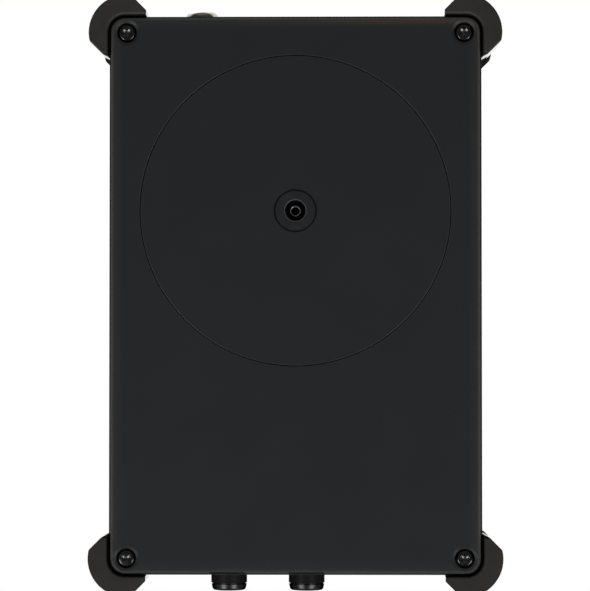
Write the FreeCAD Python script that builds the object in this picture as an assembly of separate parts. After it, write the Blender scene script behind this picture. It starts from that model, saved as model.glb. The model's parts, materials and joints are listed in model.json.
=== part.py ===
import FreeCAD, Part
import math
import os

V = FreeCAD.Vector

# Frame: +Z up, +X to the right seen from the front, the front faces -Y. Millimetres.
# The origin lies under the middle of the case, on the surface that the corner bumpers stand on.

# Case
CASE_X = 143.5
CASE_Y = 215.1
CASE_CORNER_R = 6.2
FOOT_DROP = 2.0
COVER_SHEET = 1.5
COVER_EDGE_R = 2.0
SEAM_Z = 9.0
SEAM_GAP = 0.2
WALL = 2.0
TOP_SKIN = 2.5
TOP_MID_Z = 48.3
TOP_SLOPE = 4.5
TOP_EDGE_R = 2.0
HALF_X = CASE_X / 2
HALF_Y = CASE_Y / 2
COVER_IN_Z = FOOT_DROP + COVER_SHEET
TALL = 90.0
FAR = 130.0

# Corner screws and bumpers
SCREW_X = 65.0
SCREW_Y = 101.2
SCREW_R = 1.475
SCREW_HEAD_R = 3.0
SCREW_HEAD_H = 1.9
SCREW_END_Z = 20.0
POST_R = 3.5
THREAD_PLAY = 0.025
DIMPLE_RIM_R = 5.0
DIMPLE_R = 3.85
DIMPLE_RIM_DEPTH = 0.5
DIMPLE_DEPTH = 2.4
CLEAR_HOLE_R = 1.7
BUMPER_LOW_R = 14.65
BUMPER_LOW_SIDE_CUT = 12.45
BUMPER_LOW_SIDE_END = 14.4
BUMPER_LOW_REAR_CUT = 11.4
BUMPER_LOW_REAR_END = 14.2
BUMPER_STEP_Z = 22.3
BUMPER_STEP_EASE = 1.1
BUMPER_NECK_R = 12.3
BUMPER_NECK_SIDE_CUT = 11.3
BUMPER_NECK_REAR_CUT = 10.25
BUMPER_HIGH_R = 13.75
BUMPER_HIGH_SIDE_CUT = 12.7
BUMPER_HIGH_SIDE_END = 14.9
BUMPER_HIGH_REAR_CUT = 11.3
BUMPER_HIGH_REAR_END = 12.9
BUMPER_BRIM_ABOVE = 5.0
BUMPER_WEB_Z = 3.0
BUMPER_WEB_SLOPE = 0.55
BUMPER_PROUD = 1.0
BUMPER_GAP = 0.55
BUMPER_GAP_Z = 6.0
BUMPER_GAP_ROUND = 0.9
BUMPER_EASE = 0.05
BUMPER_CORNER_R = 1.4
BUMPER_FOOT_R = 0.7
BUMPER_TOP_R = 1.2
EAR_X = 60.4
EAR_Y = 96.6
EAR_TOP_Z = 11.0

# Seat and thread for a stand, under the case
SEAT_R = 60.0
SEAT_DEPTH = 0.3
SEAT_BEVEL = 0.28
SEAT_BEVEL_DEPTH = 0.11
SEAT_GROOVE = 0.3
SEAT_GROOVE_DEPTH = 0.45
SEAT_Y = 32.5
BUSH_HOLE_R = 8.2
BUSH_HOLE_EASE = 0.25
BUSH_FACE_Z = FOOT_DROP + SEAT_DEPTH + 0.15
BUSH_FACE_R = 7.85
BUSH_FLANGE_R = 15.0
BUSH_FLANGE = 1.8
BUSH_STEM_R = 5.5
BUSH_TOP_Z = 14.0
BUSH_BOARD_GAP = 0.5
BUSH_RECESS_R = 4.0
BUSH_RECESS_DEPTH = 4.4
INSERT_PROUD = 0.5
INSERT_R = 3.0
THREAD_R = 1.65

# Upright slots in both side walls
SLOT_COUNT = 13
SLOT_STEP = 7.0
SLOT_Z0 = 19.0
SLOT_Z1 = 31.0
SLOT_R = 1.0

# Front and rear panels, behind windows in the case wall
PANEL_SHEET = 1.5
PANEL_X = 60.0
PANEL_Z0 = 10.6
WINDOW_X = 56.5
WINDOW_Z0 = 11.6
WINDOW_R = 2.0
REAR_WINDOW_Z1 = 52.0
REAR_PANEL_Z1 = 53.6
FRONT_WINDOW_Z1 = 35.5
FRONT_PANEL_Z1 = 36.8
PANEL_FACE = HALF_Y - WALL
PANEL_BACK = PANEL_FACE - PANEL_SHEET

# Rear sockets
ROUND_SOCKET_X = (-41.25, -13.75, 13.75, 41.25)
ROUND_SOCKET_Z = 38.5
ROUND_HOLE_R = 12.0
ROUND_NOSE_R = 11.8
SOCKET_SIZE = 26.0
SOCKET_BODY_Z = 23.0
SOCKET_BACK_Y = 70.0
SOCKET_FLANGE_Y = 95.0
SOCKET_SCREW_STEP = 10.8
SOCKET_SCREW_R = 1.25
CUP_R = 8.1
CUP_DEPTH = 14.5
PIN_R = 1.2
PIN_REACH = 4.7
PIN_LONG = 11.0
RING_GAP_R0 = 7.75
RING_GAP_R1 = 9.65
RING_GAP_DEPTH = 10.0
JACK_R = 3.25
JACK_BUSH_R = 4.4
JACK_LONG = 32.0
JACK_LOW_Z = 18.0
LINE_JACK_X = 36.7
FERRULE_R = 6.25
FERRULE_END_Y = 110.9
FERRULE_ROUND_R = 2.0
USB_X = 10.0
USB_Z = 13.9
POWER_SOCKET_X = -14.0
POWER_BUTTON_X = -38.0
POWER_BUTTON_R = 4.0
POWER_TRAVEL = 1.5
LOCK_SLOT_X = -52.0

# Front knobs and jacks
KNOB_X = (-4.1, 26.2)
KNOB_Z = 23.0
KNOB_R = 7.0
KNOB_END_Y = -114.7
KNOB_GROOVE_Y = -112.1
KNOB_END_TAPER = 13.4
KNOB_ROUND_R = 1.1
KNOB_GAP = 0.6
SHAFT_R = 3.0
RUNNING = 0.05
PRESSED = 0.01
NUT_PLAY = 0.03
POT_BUSH_R = 3.5
PHONES_JACK_X = -34.0
INSTRUMENT_JACK_X = 48.0

# Boards
BOARD_X = 62.0
BOARD_Y0 = -90.0
BOARD_Y1 = 92.0
BOARD_Z1 = 12.0
BOARD_SHEET = 1.6
BOARD_SCREW_R = 1.475
BOARD_POST_R = 3.0
STANDOFF_AT = [(x, y) for x in (-56.0, 56.0) for y in (-66.0, 0.0, 62.0)]
CONTROL_BOARD_W = -8.4
CONTROL_POST_AT = [(u, v) for u in (-54.0, 56.0) for v in (-84.0, -4.0)]

# Top face, in its own frame: u to the right, v up the slope, w out of the face
GLASS_U = 63.0
GLASS_V0 = 8.0
GLASS_V1 = 96.0
GLASS_CORNER_R = 4.0
GLASS_THICK = 1.2
SCREEN_U = 57.5
SCREEN_V0 = 14.0
SCREEN_V1 = 90.0
SCREEN_THICK = 1.7
SCREEN_CORNER_R = 2.0
DIAL_U = 32.0
DIAL_V = -49.0
DIAL_R = 26.0
DIAL_H = 17.0
DIAL_GAP = 0.6
DIAL_CAP_R = 19.0
ENCODER_BUSH_R = 4.5
DISH_R = 28.5
DISH_DEPTH = 0.6
BUTTON_U = (-47.0, -21.0)
BUTTON_V = (-62.0, -36.0)
BUTTON_HOLE_R = 7.0
BUTTON_R = 6.7
BUTTON_TRAVEL = 1.0
BUTTON_PROUD = BUTTON_TRAVEL + 0.3
LIGHT_U = (-8.0, 0.0, 8.0)
LIGHT_V = -6.0
LIGHT_R = 1.0
UP = V(0, -math.sin(math.radians(TOP_SLOPE)), math.cos(math.radians(TOP_SLOPE)))


def block(x0, x1, y0, y1, z0, z1):
    return Part.makeBox(x1 - x0, y1 - y0, z1 - z0, V(x0, y0, z0))


def rod(x, y, z0, z1, radius):
    return Part.makeCylinder(radius, z1 - z0, V(x, y, z0))


def rod_y(x, z, y0, y1, radius):
    return Part.makeCylinder(radius, y1 - y0, V(x, y0, z), V(0, 1, 0))


def fused(shapes):
    return shapes[0].multiFuse(shapes[1:]).removeSplitter()


def without(shape, tools):
    return shape.cut(Part.makeCompound(tools))


def rounded_prism(x0, x1, y0, y1, z0, z1, radius):
    solid = block(x0, x1, y0, y1, z0, z1)
    upright = [e for e in solid.Edges if abs(e.BoundBox.ZLength - (z1 - z0)) < 1e-6]
    return solid.makeFillet(radius, upright)


def rounded_window(x0, x1, z0, z1, y0, y1, radius):
    solid = block(x0, x1, y0, y1, z0, z1)
    level = [e for e in solid.Edges if abs(e.BoundBox.YLength - (y1 - y0)) < 1e-6]
    return solid.makeFillet(radius, level)


def case_prism(offset, z0, z1):
    """The case's plan, grown by an offset, as an upright prism."""
    hx = HALF_X + offset
    hy = HALF_Y + offset
    return rounded_prism(-hx, hx, -hy, hy, z0, z1, CASE_CORNER_R + offset)


def turned(outline):
    """A solid of revolution about +Z from (radius, height) points, closed on its own outline."""
    points = [V(r, 0, h) for r, h in outline]
    face = Part.Face(Part.makePolygon(points + [points[0]]))
    return face.revolve(V(0, 0, 0), V(0, 0, 1), 360)


def facing_front(shape, x, z, y):
    """Turns a solid made along +Z so that it points to the front, -Y, from the given place."""
    turn = FreeCAD.Rotation(V(1, 0, 0), 90)
    moved = shape.copy()
    moved.Placement = FreeCAD.Placement(V(x, y, z), turn)
    return moved


def facing_rear(shape, x, z, y):
    turn = FreeCAD.Rotation(V(1, 0, 0), -90)
    moved = shape.copy()
    moved.Placement = FreeCAD.Placement(V(x, y, z), turn)
    return moved


def on_top(shape):
    """Carries a solid from the top face's own frame to the case's frame."""
    moved = shape.copy()
    turn = FreeCAD.Rotation(V(1, 0, 0), TOP_SLOPE)
    moved.Placement = FreeCAD.Placement(V(0, 0, TOP_MID_Z), turn).multiply(moved.Placement)
    return moved


def below_top(depth):
    """Everything under the plane of the top face lowered by a depth."""
    return on_top(block(-FAR, FAR, -FAR, FAR, -FAR, -depth))


def face_edges(shape, normal, reach):
    """The edges of the flat face that looks along a direction and lies furthest that way."""
    best = max(
        (f for f in shape.Faces if is_flat_towards(f, normal)),
        key=lambda f: f.CenterOfMass.dot(normal),
    )
    return [e for e in best.Edges if e.Length > reach]


def is_flat_towards(face, normal):
    if face.Surface.TypeId != "Part::GeomPlane":
        return False
    u0, u1, v0, v1 = face.ParameterRange
    return face.normalAt((u0 + u1) / 2, (v0 + v1) / 2).dot(normal) > 0.999


def save(name, shape):
    shape.exportStep("parts/" + name + ".step")
    box = shape.BoundBox
    state = "valid" if shape.isValid() else "NOT VALID"
    print(name, len(shape.Solids), "solids", round(shape.Volume), "mm3", state,
          [round(v, 1) for v in (box.XMin, box.XMax, box.YMin, box.YMax, box.ZMin, box.ZMax)])


def corner_signs():
    return [(sx, sy) for sy in (1, -1) for sx in (-1, 1)]


def screw_places():
    return [(sx * SCREW_X, sy * SCREW_Y) for sx, sy in corner_signs()]


def corner_block(sx, sy, x0, y0, z0, z1):
    """A block from the given distances outwards, in the quarter named by two signs."""
    xs = sorted((sx * x0, sx * FAR))
    ys = sorted((sy * y0, sy * FAR))
    return block(xs[0], xs[1], ys[0], ys[1], z0, z1)


def cross_recess(size, width, depth):
    """A cross-shaped driver recess sunk from the plane z = 0 upwards."""
    arms = [block(-size / 2, size / 2, -width / 2, width / 2, 0, depth),
            block(-width / 2, width / 2, -size / 2, size / 2, 0, depth)]
    return fused(arms)


def pan_screw(head_r, head_h, shank_r, length, recess):
    """A pan-head screw whose head hangs below z = 0 and whose shank stands up from it."""
    ease = head_h * 0.45
    head = turned([(0, 0), (head_r, 0), (head_r, -head_h + ease), (head_r - ease, -head_h), (0, -head_h)])
    shank = rod(0, 0, -0.1, length, shank_r)
    cross = cross_recess(recess, recess * 0.3, head_h * 0.6)
    cross.translate(V(0, 0, -head_h))
    return fused([head, shank]).cut(cross)


def placed(shape, x, y, z):
    moved = shape.copy()
    moved.translate(V(x, y, z))
    return moved


def bottom_cover():
    """The shallow metal tray under the case, with the stand seat and four screw dimples."""
    tray = case_prism(0, FOOT_DROP, SEAM_Z)
    tray = tray.makeFillet(COVER_EDGE_R, face_edges(tray, V(0, 0, -1), 0))
    tray = tray.cut(case_prism(-COVER_SHEET, COVER_IN_Z, SEAM_Z + 1))
    bosses = [rod(x, y, COVER_IN_Z - 0.5, SEAM_Z, DIMPLE_RIM_R) for x, y in screw_places()]
    tray = fused([tray] + bosses)
    hole_z = FOOT_DROP + SEAT_DEPTH
    bush_hole = placed(turned([
        (0, 0), (BUSH_HOLE_R + 1, 0), (BUSH_HOLE_R + BUSH_HOLE_EASE, hole_z),
        (BUSH_HOLE_R, hole_z + BUSH_HOLE_EASE), (BUSH_HOLE_R, 5), (0, 5),
    ]), 0, SEAT_Y, 0)
    dimple = turned([
        (0, -1), (DIMPLE_RIM_R + 1, -1), (DIMPLE_RIM_R, 0), (DIMPLE_R, DIMPLE_RIM_DEPTH),
        (DIMPLE_R, DIMPLE_DEPTH), (CLEAR_HOLE_R, DIMPLE_DEPTH), (CLEAR_HOLE_R, 12), (0, 12),
    ])
    dimples = [placed(dimple, x, y, FOOT_DROP) for x, y in screw_places()]
    return without(tray, [stand_seat(), bush_hole] + dimples)


def stand_seat():
    """The room of the round seat: a shallow disc with a fine groove sunk along its edge."""
    floor_z = SEAT_DEPTH
    groove_z = SEAT_DEPTH + SEAT_GROOVE_DEPTH
    inner_r = SEAT_R - SEAT_GROOVE
    room = turned([
        (0, -1), (SEAT_R + SEAT_BEVEL, -1), (SEAT_R + SEAT_BEVEL, 0), (SEAT_R, SEAT_BEVEL_DEPTH),
        (SEAT_R, groove_z), (inner_r, groove_z), (inner_r, floor_z + SEAT_BEVEL_DEPTH),
        (inner_r - SEAT_BEVEL, floor_z), (0, floor_z),
    ])
    return placed(room, 0, SEAT_Y, FOOT_DROP)


def ear_gaps(ease, z1):
    """The room that the bumpers' ears need at the four corners."""
    return [corner_block(sx, sy, EAR_X - ease, EAR_Y - ease, 0, z1) for sx, sy in corner_signs()]


def side_slots():
    """Cuts with round ends through both side walls, evenly spaced about the middle."""
    slots = []
    for side in (-1, 1):
        x0 = side * HALF_X - 5
        for k in range(SLOT_COUNT):
            y = SLOT_STEP * (k - (SLOT_COUNT - 1) / 2)
            bar = block(x0, x0 + 10, y - SLOT_R, y + SLOT_R, SLOT_Z0, SLOT_Z1)
            ends = [Part.makeCylinder(SLOT_R, 10, V(x0, y, z), V(1, 0, 0)) for z in (SLOT_Z0, SLOT_Z1)]
            slots.append(fused([bar] + ends))
    return slots


def panel_ribs():
    """Upright ribs inside the case that trap the edges of the front and rear panels."""
    ribs = []
    for side in (-1, 1):
        x0, x1 = sorted((side * (WINDOW_X + 1.1), side * PANEL_X))
        for end in (-1, 1):
            y0, y1 = sorted((end * (PANEL_BACK - 0.05), end * (PANEL_BACK - 2.0)))
            ribs.append(block(x0, x1, y0, y1, BOARD_Z1 + 2, TALL))
    return [r.common(below_top(TOP_SKIN - 0.5)) for r in ribs]


def top_housing():
    """The cast upper case: four walls and the sloping top in one piece."""
    shell = case_prism(0, SEAM_Z + SEAM_GAP, TALL).common(below_top(0))
    shell = shell.makeFillet(TOP_EDGE_R, face_edges(shell, UP, 0))
    inside = case_prism(-WALL, 0, TALL).common(below_top(TOP_SKIN))
    shell = shell.cut(inside)
    lip = case_prism(-COVER_SHEET - 0.1, SEAM_Z - 2, SEAM_Z + 1.4)
    lip = lip.cut(case_prism(-COVER_SHEET - 1.1, 0, TALL))
    lip = without(lip, ear_gaps(0.5, TALL))
    posts = [on_top(rod(u, v, CONTROL_BOARD_W, -TOP_SKIN + 0.5, BOARD_POST_R)) for u, v in CONTROL_POST_AT]
    shell = fused([shell, lip] + panel_ribs() + posts)
    shell = without(shell, ear_gaps(0.1, EAR_TOP_Z + 0.1))
    windows = [
        rounded_window(-WINDOW_X, WINDOW_X, WINDOW_Z0, REAR_WINDOW_Z1, PANEL_FACE - 1, FAR, WINDOW_R),
        rounded_window(-WINDOW_X, WINDOW_X, WINDOW_Z0, FRONT_WINDOW_Z1, -FAR, -PANEL_FACE + 1, WINDOW_R),
    ]
    shell = without(shell, windows + side_slots())
    return without(shell, [on_top(s) for s in top_face_cuts()])


def top_face_cuts():
    """The glass bed, holes and dial recess of the top face, in the face's own frame."""
    glass_bed = rounded_prism(-GLASS_U - 0.15, GLASS_U + 0.15, GLASS_V0 - 0.15, GLASS_V1 + 0.15,
                              -GLASS_THICK - 0.2, 5, GLASS_CORNER_R)
    screen_hole = rounded_prism(-SCREEN_U, SCREEN_U, SCREEN_V0, SCREEN_V1, -6, 5, SCREEN_CORNER_R)
    dish = rod(DIAL_U, DIAL_V, -DISH_DEPTH, 5, DISH_R)
    bush_hole = rod(DIAL_U, DIAL_V, -6, 5, ENCODER_BUSH_R + 0.1)
    buttons = [rod(u, v, -6, 5, BUTTON_HOLE_R) for u in BUTTON_U for v in BUTTON_V]
    lights = [rod(u, LIGHT_V, -6, 5, LIGHT_R + 0.05) for u in LIGHT_U]
    low = CONTROL_BOARD_W - 1
    taps = [rod(u, v, low, -TOP_SKIN - 0.5, BOARD_SCREW_R + THREAD_PLAY) for u, v in CONTROL_POST_AT]
    return [glass_bed, screen_hole, dish, bush_hole] + buttons + lights + taps


def lobe_ends(side, rear):
    """Where a lobe's two 45 degree cuts stop, beside the case's side and behind its rear."""
    side_cut, side_end = side
    rear_cut, rear_end = rear
    side_y = HALF_Y - side_end
    rear_x = HALF_X - rear_end
    side_stop = V(SCREW_X - SCREW_Y + side_y + side_cut * math.sqrt(2), side_y, 0)
    rear_stop = V(rear_x, SCREW_Y - SCREW_X + rear_x + rear_cut * math.sqrt(2), 0)
    return side_stop, rear_stop


def bumper_outline(radius, side, rear):
    """Plan of one bumper lobe at the rear right corner: arc, two 45 degree cuts and two short ends."""
    side_turn = math.radians(45) - math.acos(side[0] / radius)
    rear_turn = math.radians(45) - math.acos(rear[0] / radius)
    first = V(SCREW_X + radius * math.cos(side_turn), SCREW_Y - radius * math.sin(side_turn), 0)
    last = V(SCREW_X - radius * math.sin(rear_turn), SCREW_Y + radius * math.cos(rear_turn), 0)
    half = radius * math.sqrt(0.5)
    middle = V(SCREW_X + half, SCREW_Y + half, 0)
    side_stop, rear_stop = lobe_ends(side, rear)
    inner = [V(rear_stop.x, EAR_Y + 1.6, 0), V(EAR_X + 0.6, side_stop.y, 0)]
    edges = [
        Part.makeLine(inner[1], side_stop),
        Part.makeLine(side_stop, first),
        Part.Arc(first, middle, last).toShape(),
        Part.makeLine(last, rear_stop),
        Part.makeLine(rear_stop, inner[0]),
        Part.makeLine(inner[0], inner[1]),
    ]
    return Part.Face(Part.Wire(edges))


def lobe(radius, side, rear, z0, z1):
    """One lobe as an upright prism with its outer corners rounded."""
    face = bumper_outline(radius, side, rear)
    face.translate(V(0, 0, z0))
    solid = face.extrude(V(0, 0, z1 - z0))
    screw = V(SCREW_X, SCREW_Y, (z0 + z1) / 2)
    upright = [e for e in solid.Edges if e.BoundBox.ZLength > z1 - z0 - 1e-6]
    outer = [e for e in upright if (e.CenterOfMass - screw).Length > radius - 0.01]
    return solid.makeFillet(BUMPER_CORNER_R, outer)


def bumper_web(side_stop):
    """A wedge that carries the foot's side end on, aslant, to the case's side wall."""
    lap = 0.5
    inner_x = HALF_X - 1
    points = [
        side_stop, V(inner_x, side_stop.y - (side_stop.x - inner_x) * BUMPER_WEB_SLOPE, 0),
        V(inner_x, side_stop.y + lap, 0), V(side_stop.x, side_stop.y + lap, 0),
    ]
    face = Part.Face(Part.makePolygon(points + [points[0]]))
    web = face.extrude(V(0, 0, BUMPER_STEP_Z - BUMPER_STEP_EASE - BUMPER_WEB_Z))
    return placed(web, 0, 0, BUMPER_WEB_Z)


def level_wire(solid, z):
    """The outer wire of a prism's flat face at a height."""
    faces = [f for f in solid.Faces if f.BoundBox.ZLength < 1e-6 and abs(f.CenterOfMass.z - z) < 1e-6]
    return faces[0].OuterWire


def bumper_gap():
    """The room between the foot and the case, whose lower edge on the foot is rounded in three steps."""
    rounding = [(BUMPER_GAP + BUMPER_GAP_ROUND * 2, -BUMPER_GAP_ROUND)]
    for turn in (90, 60, 30, 0):
        out = BUMPER_GAP_ROUND * (1 - math.cos(math.radians(turn)))
        up = BUMPER_GAP_ROUND * (1 - math.sin(math.radians(turn)))
        rounding.append((BUMPER_GAP + out, up))
    wires = [level_wire(case_prism(offset, z, z + 1), z) for offset, z in rounding]
    return fused([Part.makeLoft(wires, True, True), case_prism(BUMPER_GAP, -1, BUMPER_GAP_Z)])


def bumper(sx, sy):
    """A moulded corner bumper: a wide foot with a step above it, and an upper part that widens upwards."""
    low_side = (BUMPER_LOW_SIDE_CUT, BUMPER_LOW_SIDE_END)
    low_rear = (BUMPER_LOW_REAR_CUT, BUMPER_LOW_REAR_END)
    low = lobe(BUMPER_LOW_R, low_side, low_rear, 0, BUMPER_STEP_Z)
    low = low.makeFillet(BUMPER_FOOT_R, face_edges(low, V(0, 0, -1), 0))
    low = low.makeChamfer(BUMPER_STEP_EASE, face_edges(low, V(0, 0, 1), 0))
    low = fused([low, bumper_web(lobe_ends(low_side, low_rear)[0])])
    neck_z = BUMPER_STEP_Z - 1
    top_z = TOP_MID_Z + sy * SCREW_Y * math.tan(math.radians(TOP_SLOPE)) + BUMPER_BRIM_ABOVE
    neck = lobe(BUMPER_NECK_R, (BUMPER_NECK_SIDE_CUT, BUMPER_HIGH_SIDE_END),
                (BUMPER_NECK_REAR_CUT, BUMPER_HIGH_REAR_END), neck_z, TALL)
    brim = lobe(BUMPER_HIGH_R, (BUMPER_HIGH_SIDE_CUT, BUMPER_HIGH_SIDE_END),
                (BUMPER_HIGH_REAR_CUT, BUMPER_HIGH_REAR_END), neck_z, top_z)
    high = Part.makeLoft([level_wire(neck, neck_z), level_wire(brim, top_z)], True, True)
    if sx < 0:
        low, high = (s.mirror(V(0, 0, 0), V(1, 0, 0)) for s in (low, high))
    if sy < 0:
        low, high = (s.mirror(V(0, 0, 0), V(0, 1, 0)) for s in (low, high))
    high = high.common(below_top(-BUMPER_PROUD))
    high = high.makeFillet(BUMPER_TOP_R, face_edges(high, UP, 0))
    body = fused([low, high])
    body = body.cut(case_prism(BUMPER_EASE, -1, TALL))
    body = body.cut(bumper_gap())
    ear = corner_block(sx, sy, EAR_X, EAR_Y, SEAM_Z, EAR_TOP_Z)
    ear = ear.common(case_prism(BUMPER_EASE + 0.5, 0, TALL))
    ear = ear.cut(rod(sx * SCREW_X, sy * SCREW_Y, 0, TALL, CLEAR_HOLE_R))
    return fused([body, ear])


def bottom_screws():
    floor_z = FOOT_DROP + DIMPLE_DEPTH
    screw = pan_screw(SCREW_HEAD_R, SCREW_HEAD_H, SCREW_R, SCREW_END_Z - floor_z, 3.0)
    return Part.makeCompound([placed(screw, x, y, floor_z) for x, y in screw_places()])


def corner_posts():
    """Four threaded posts that hang from the top and take the corner screws."""
    posts = []
    for x, y in screw_places():
        post = rod(x, y, EAR_TOP_Z, TALL, POST_R).common(below_top(TOP_SKIN))
        posts.append(post.cut(rod(x, y, 0, SCREW_END_Z + 2, SCREW_R + THREAD_PLAY)))
    return Part.makeCompound(posts)


def mount_bush():
    """The turned steel bush in the seat's middle; its slim stem passes through the main board."""
    face = BUSH_FACE_Z
    recess = face + BUSH_RECESS_DEPTH
    outline = [
        (BUSH_RECESS_R + 0.35, face), (BUSH_FACE_R - 0.3, face), (BUSH_FACE_R, face + 0.3),
        (BUSH_FACE_R, COVER_IN_Z), (BUSH_FLANGE_R, COVER_IN_Z), (BUSH_FLANGE_R, COVER_IN_Z + BUSH_FLANGE),
        (BUSH_STEM_R, COVER_IN_Z + BUSH_FLANGE), (BUSH_STEM_R, BUSH_TOP_Z), (INSERT_R, BUSH_TOP_Z),
        (INSERT_R, recess), (BUSH_RECESS_R, recess), (BUSH_RECESS_R, face + 0.35),
    ]
    return placed(turned(outline), 0, SEAT_Y, 0)


def mount_insert():
    """The threaded sleeve pressed into the bush; the thread is a plain bore of its minor size."""
    low = BUSH_FACE_Z + BUSH_RECESS_DEPTH - INSERT_PROUD
    mouth = THREAD_R + 0.4
    outline = [
        (THREAD_R, low + 0.4), (mouth, low), (INSERT_R - 0.35, low), (INSERT_R, low + 0.35),
        (INSERT_R, BUSH_TOP_Z), (THREAD_R, BUSH_TOP_Z),
    ]
    return placed(turned(outline), 0, SEAT_Y, 0)


def main_board():
    board = rounded_prism(-BOARD_X, BOARD_X, BOARD_Y0, BOARD_Y1, BOARD_Z1 - BOARD_SHEET, BOARD_Z1, 3.0)
    holes = [rod(x, y, 0, TALL, BOARD_SCREW_R + 0.125) for x, y in STANDOFF_AT]
    holes.append(rod(0, SEAT_Y, 0, TALL, BUSH_STEM_R + BUSH_BOARD_GAP))
    return without(board, holes)


def board_standoffs():
    low = BOARD_Z1 - BOARD_SHEET
    pieces = []
    for x, y in STANDOFF_AT:
        post = rod(x, y, COVER_IN_Z, low, BOARD_POST_R)
        pieces.append(post.cut(rod(x, y, COVER_IN_Z + 1, low + 1, BOARD_SCREW_R + THREAD_PLAY)))
    return Part.makeCompound(pieces)


def board_screws():
    """The alike screws of both boards: the main board's point down, the control board's point up."""
    up = pan_screw(2.75, 1.8, BOARD_SCREW_R, 5.5, 2.6)
    down = up.mirror(V(0, 0, 0), V(0, 0, 1))
    screws = [placed(down, x, y, BOARD_Z1) for x, y in STANDOFF_AT]
    screws += [on_top(placed(up, u, v, CONTROL_BOARD_W - BOARD_SHEET)) for u, v in CONTROL_POST_AT]
    return Part.makeCompound(screws)


def board_chips():
    """Chip packages on the main board, as (middle x, middle y, width, depth, height)."""
    sizes = [
        (18, 6, 17, 17, 1.4), (-15, 30, 12, 12, 1.2), (-34, 30, 9, 9, 1.1), (14, 36, 10, 8, 1.1),
        (40, 34, 8, 8, 1.1), (-30, -10, 14, 10, 1.2), (-6, -28, 7, 5, 1.0), (40, -44, 10, 6, 1.1),
    ]
    return Part.makeCompound([
        block(x - w / 2, x + w / 2, y - d / 2, y + d / 2, BOARD_Z1, BOARD_Z1 + h) for x, y, w, d, h in sizes
    ])


def board_capacitors():
    places = [(-50, 44), (-50, 32), (-50, 20), (50, 50), (50, 12), (50, -12), (-50, -30), (-50, -42)]
    cans = []
    for x, y in places:
        can = rod(x, y, BOARD_Z1, BOARD_Z1 + 9.5, 4.0)
        cans.append(can.makeFillet(0.6, face_edges(can, V(0, 0, 1), 0)))
    return Part.makeCompound(cans)


def heat_sink():
    """A finned block that sits on the largest chip."""
    x0 = 8.0
    y0 = -4.0
    size = 20.0
    step = 3.1
    foot = BOARD_Z1 + 1.4
    base = block(x0, x0 + size, y0, y0 + size, foot, foot + 2)
    fin = block(x0, x0 + 1.4, y0, y0 + size, foot + 1.6, foot + 8.6)
    return fused([base] + [placed(fin, step * k, 0, 0) for k in range(7)])


def rear_panel():
    plate = block(-PANEL_X, PANEL_X, PANEL_BACK, PANEL_FACE, PANEL_Z0, REAR_PANEL_Z1)
    holes = []
    for x in ROUND_SOCKET_X:
        holes.append(rod_y(x, ROUND_SOCKET_Z, 90, FAR, ROUND_HOLE_R))
        for dx, dz in socket_screw_steps():
            holes.append(rod_y(x + dx, ROUND_SOCKET_Z + dz, 90, FAR, SOCKET_SCREW_R + 0.15))
    holes.append(rod_y(LINE_JACK_X, JACK_LOW_Z, 90, FAR, JACK_BUSH_R + 0.2))
    holes.append(rounded_window(USB_X - 5.0, USB_X + 5.0, USB_Z - 2.1, USB_Z + 2.1, 90, FAR, 2.0))
    holes.append(rod_y(POWER_SOCKET_X, JACK_LOW_Z, 90, FAR, 4.2))
    holes.append(rod_y(POWER_BUTTON_X, JACK_LOW_Z, 90, FAR, POWER_BUTTON_R + 0.3))
    holes.append(rounded_window(LOCK_SLOT_X - 1.5, LOCK_SLOT_X + 1.5, JACK_LOW_Z - 3.5,
                                JACK_LOW_Z + 3.5, 90, FAR, 0.8))
    return without(plate, holes)


def socket_screw_steps():
    return [(-SOCKET_SCREW_STEP, SOCKET_SCREW_STEP), (SOCKET_SCREW_STEP, -SOCKET_SCREW_STEP)]


def socket_shell(x):
    """The outer body that all four round rear sockets share, with its nose in the panel's hole."""
    half = SOCKET_SIZE / 2
    low = ROUND_SOCKET_Z - half
    high = ROUND_SOCKET_Z + SOCKET_BODY_Z / 2
    body = rounded_window(x - half, x + half, low, high, SOCKET_BACK_Y, PANEL_BACK, 1.5)
    flange = rounded_window(x - half, x + half, low, low + SOCKET_SIZE, SOCKET_FLANGE_Y, PANEL_BACK, 1.5)
    nose = rod_y(x, ROUND_SOCKET_Z, PANEL_BACK - 1, PANEL_FACE - 0.1, ROUND_NOSE_R)
    nose = nose.makeFillet(0.4, face_edges(nose, V(0, 1, 0), 0))
    shell = fused([body, flange, nose])
    holes = [
        rod_y(x + dx, ROUND_SOCKET_Z + dz, PANEL_BACK - 7.5, FAR, SOCKET_SCREW_R + THREAD_PLAY)
        for dx, dz in socket_screw_steps()
    ]
    return without(shell, holes)


def pin_places(x, reach):
    """Three pin places of a round socket: two above the middle and one below."""
    angles = [math.radians(a) for a in (35, 145, 270)]
    return [(x + reach * math.cos(a), ROUND_SOCKET_Z + reach * math.sin(a)) for a in angles]


def combo_socket(x):
    """An input socket: a ring-shaped gap for a plug's shell round a core with a jack bore."""
    front = PANEL_FACE + 1
    floor_y = PANEL_FACE - RING_GAP_DEPTH
    ring = rod_y(x, ROUND_SOCKET_Z, floor_y, front, RING_GAP_R1)
    ring = ring.cut(rod_y(x, ROUND_SOCKET_Z, floor_y - 1, front + 1, RING_GAP_R0))
    bore = rod_y(x, ROUND_SOCKET_Z, SOCKET_BACK_Y + 2, front, JACK_R)
    pins = [rod_y(px, pz, floor_y - 2, front, PIN_R + 0.05) for px, pz in pin_places(x, PIN_REACH + 0.75)]
    return without(socket_shell(x), [ring, bore] + pins)


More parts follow.
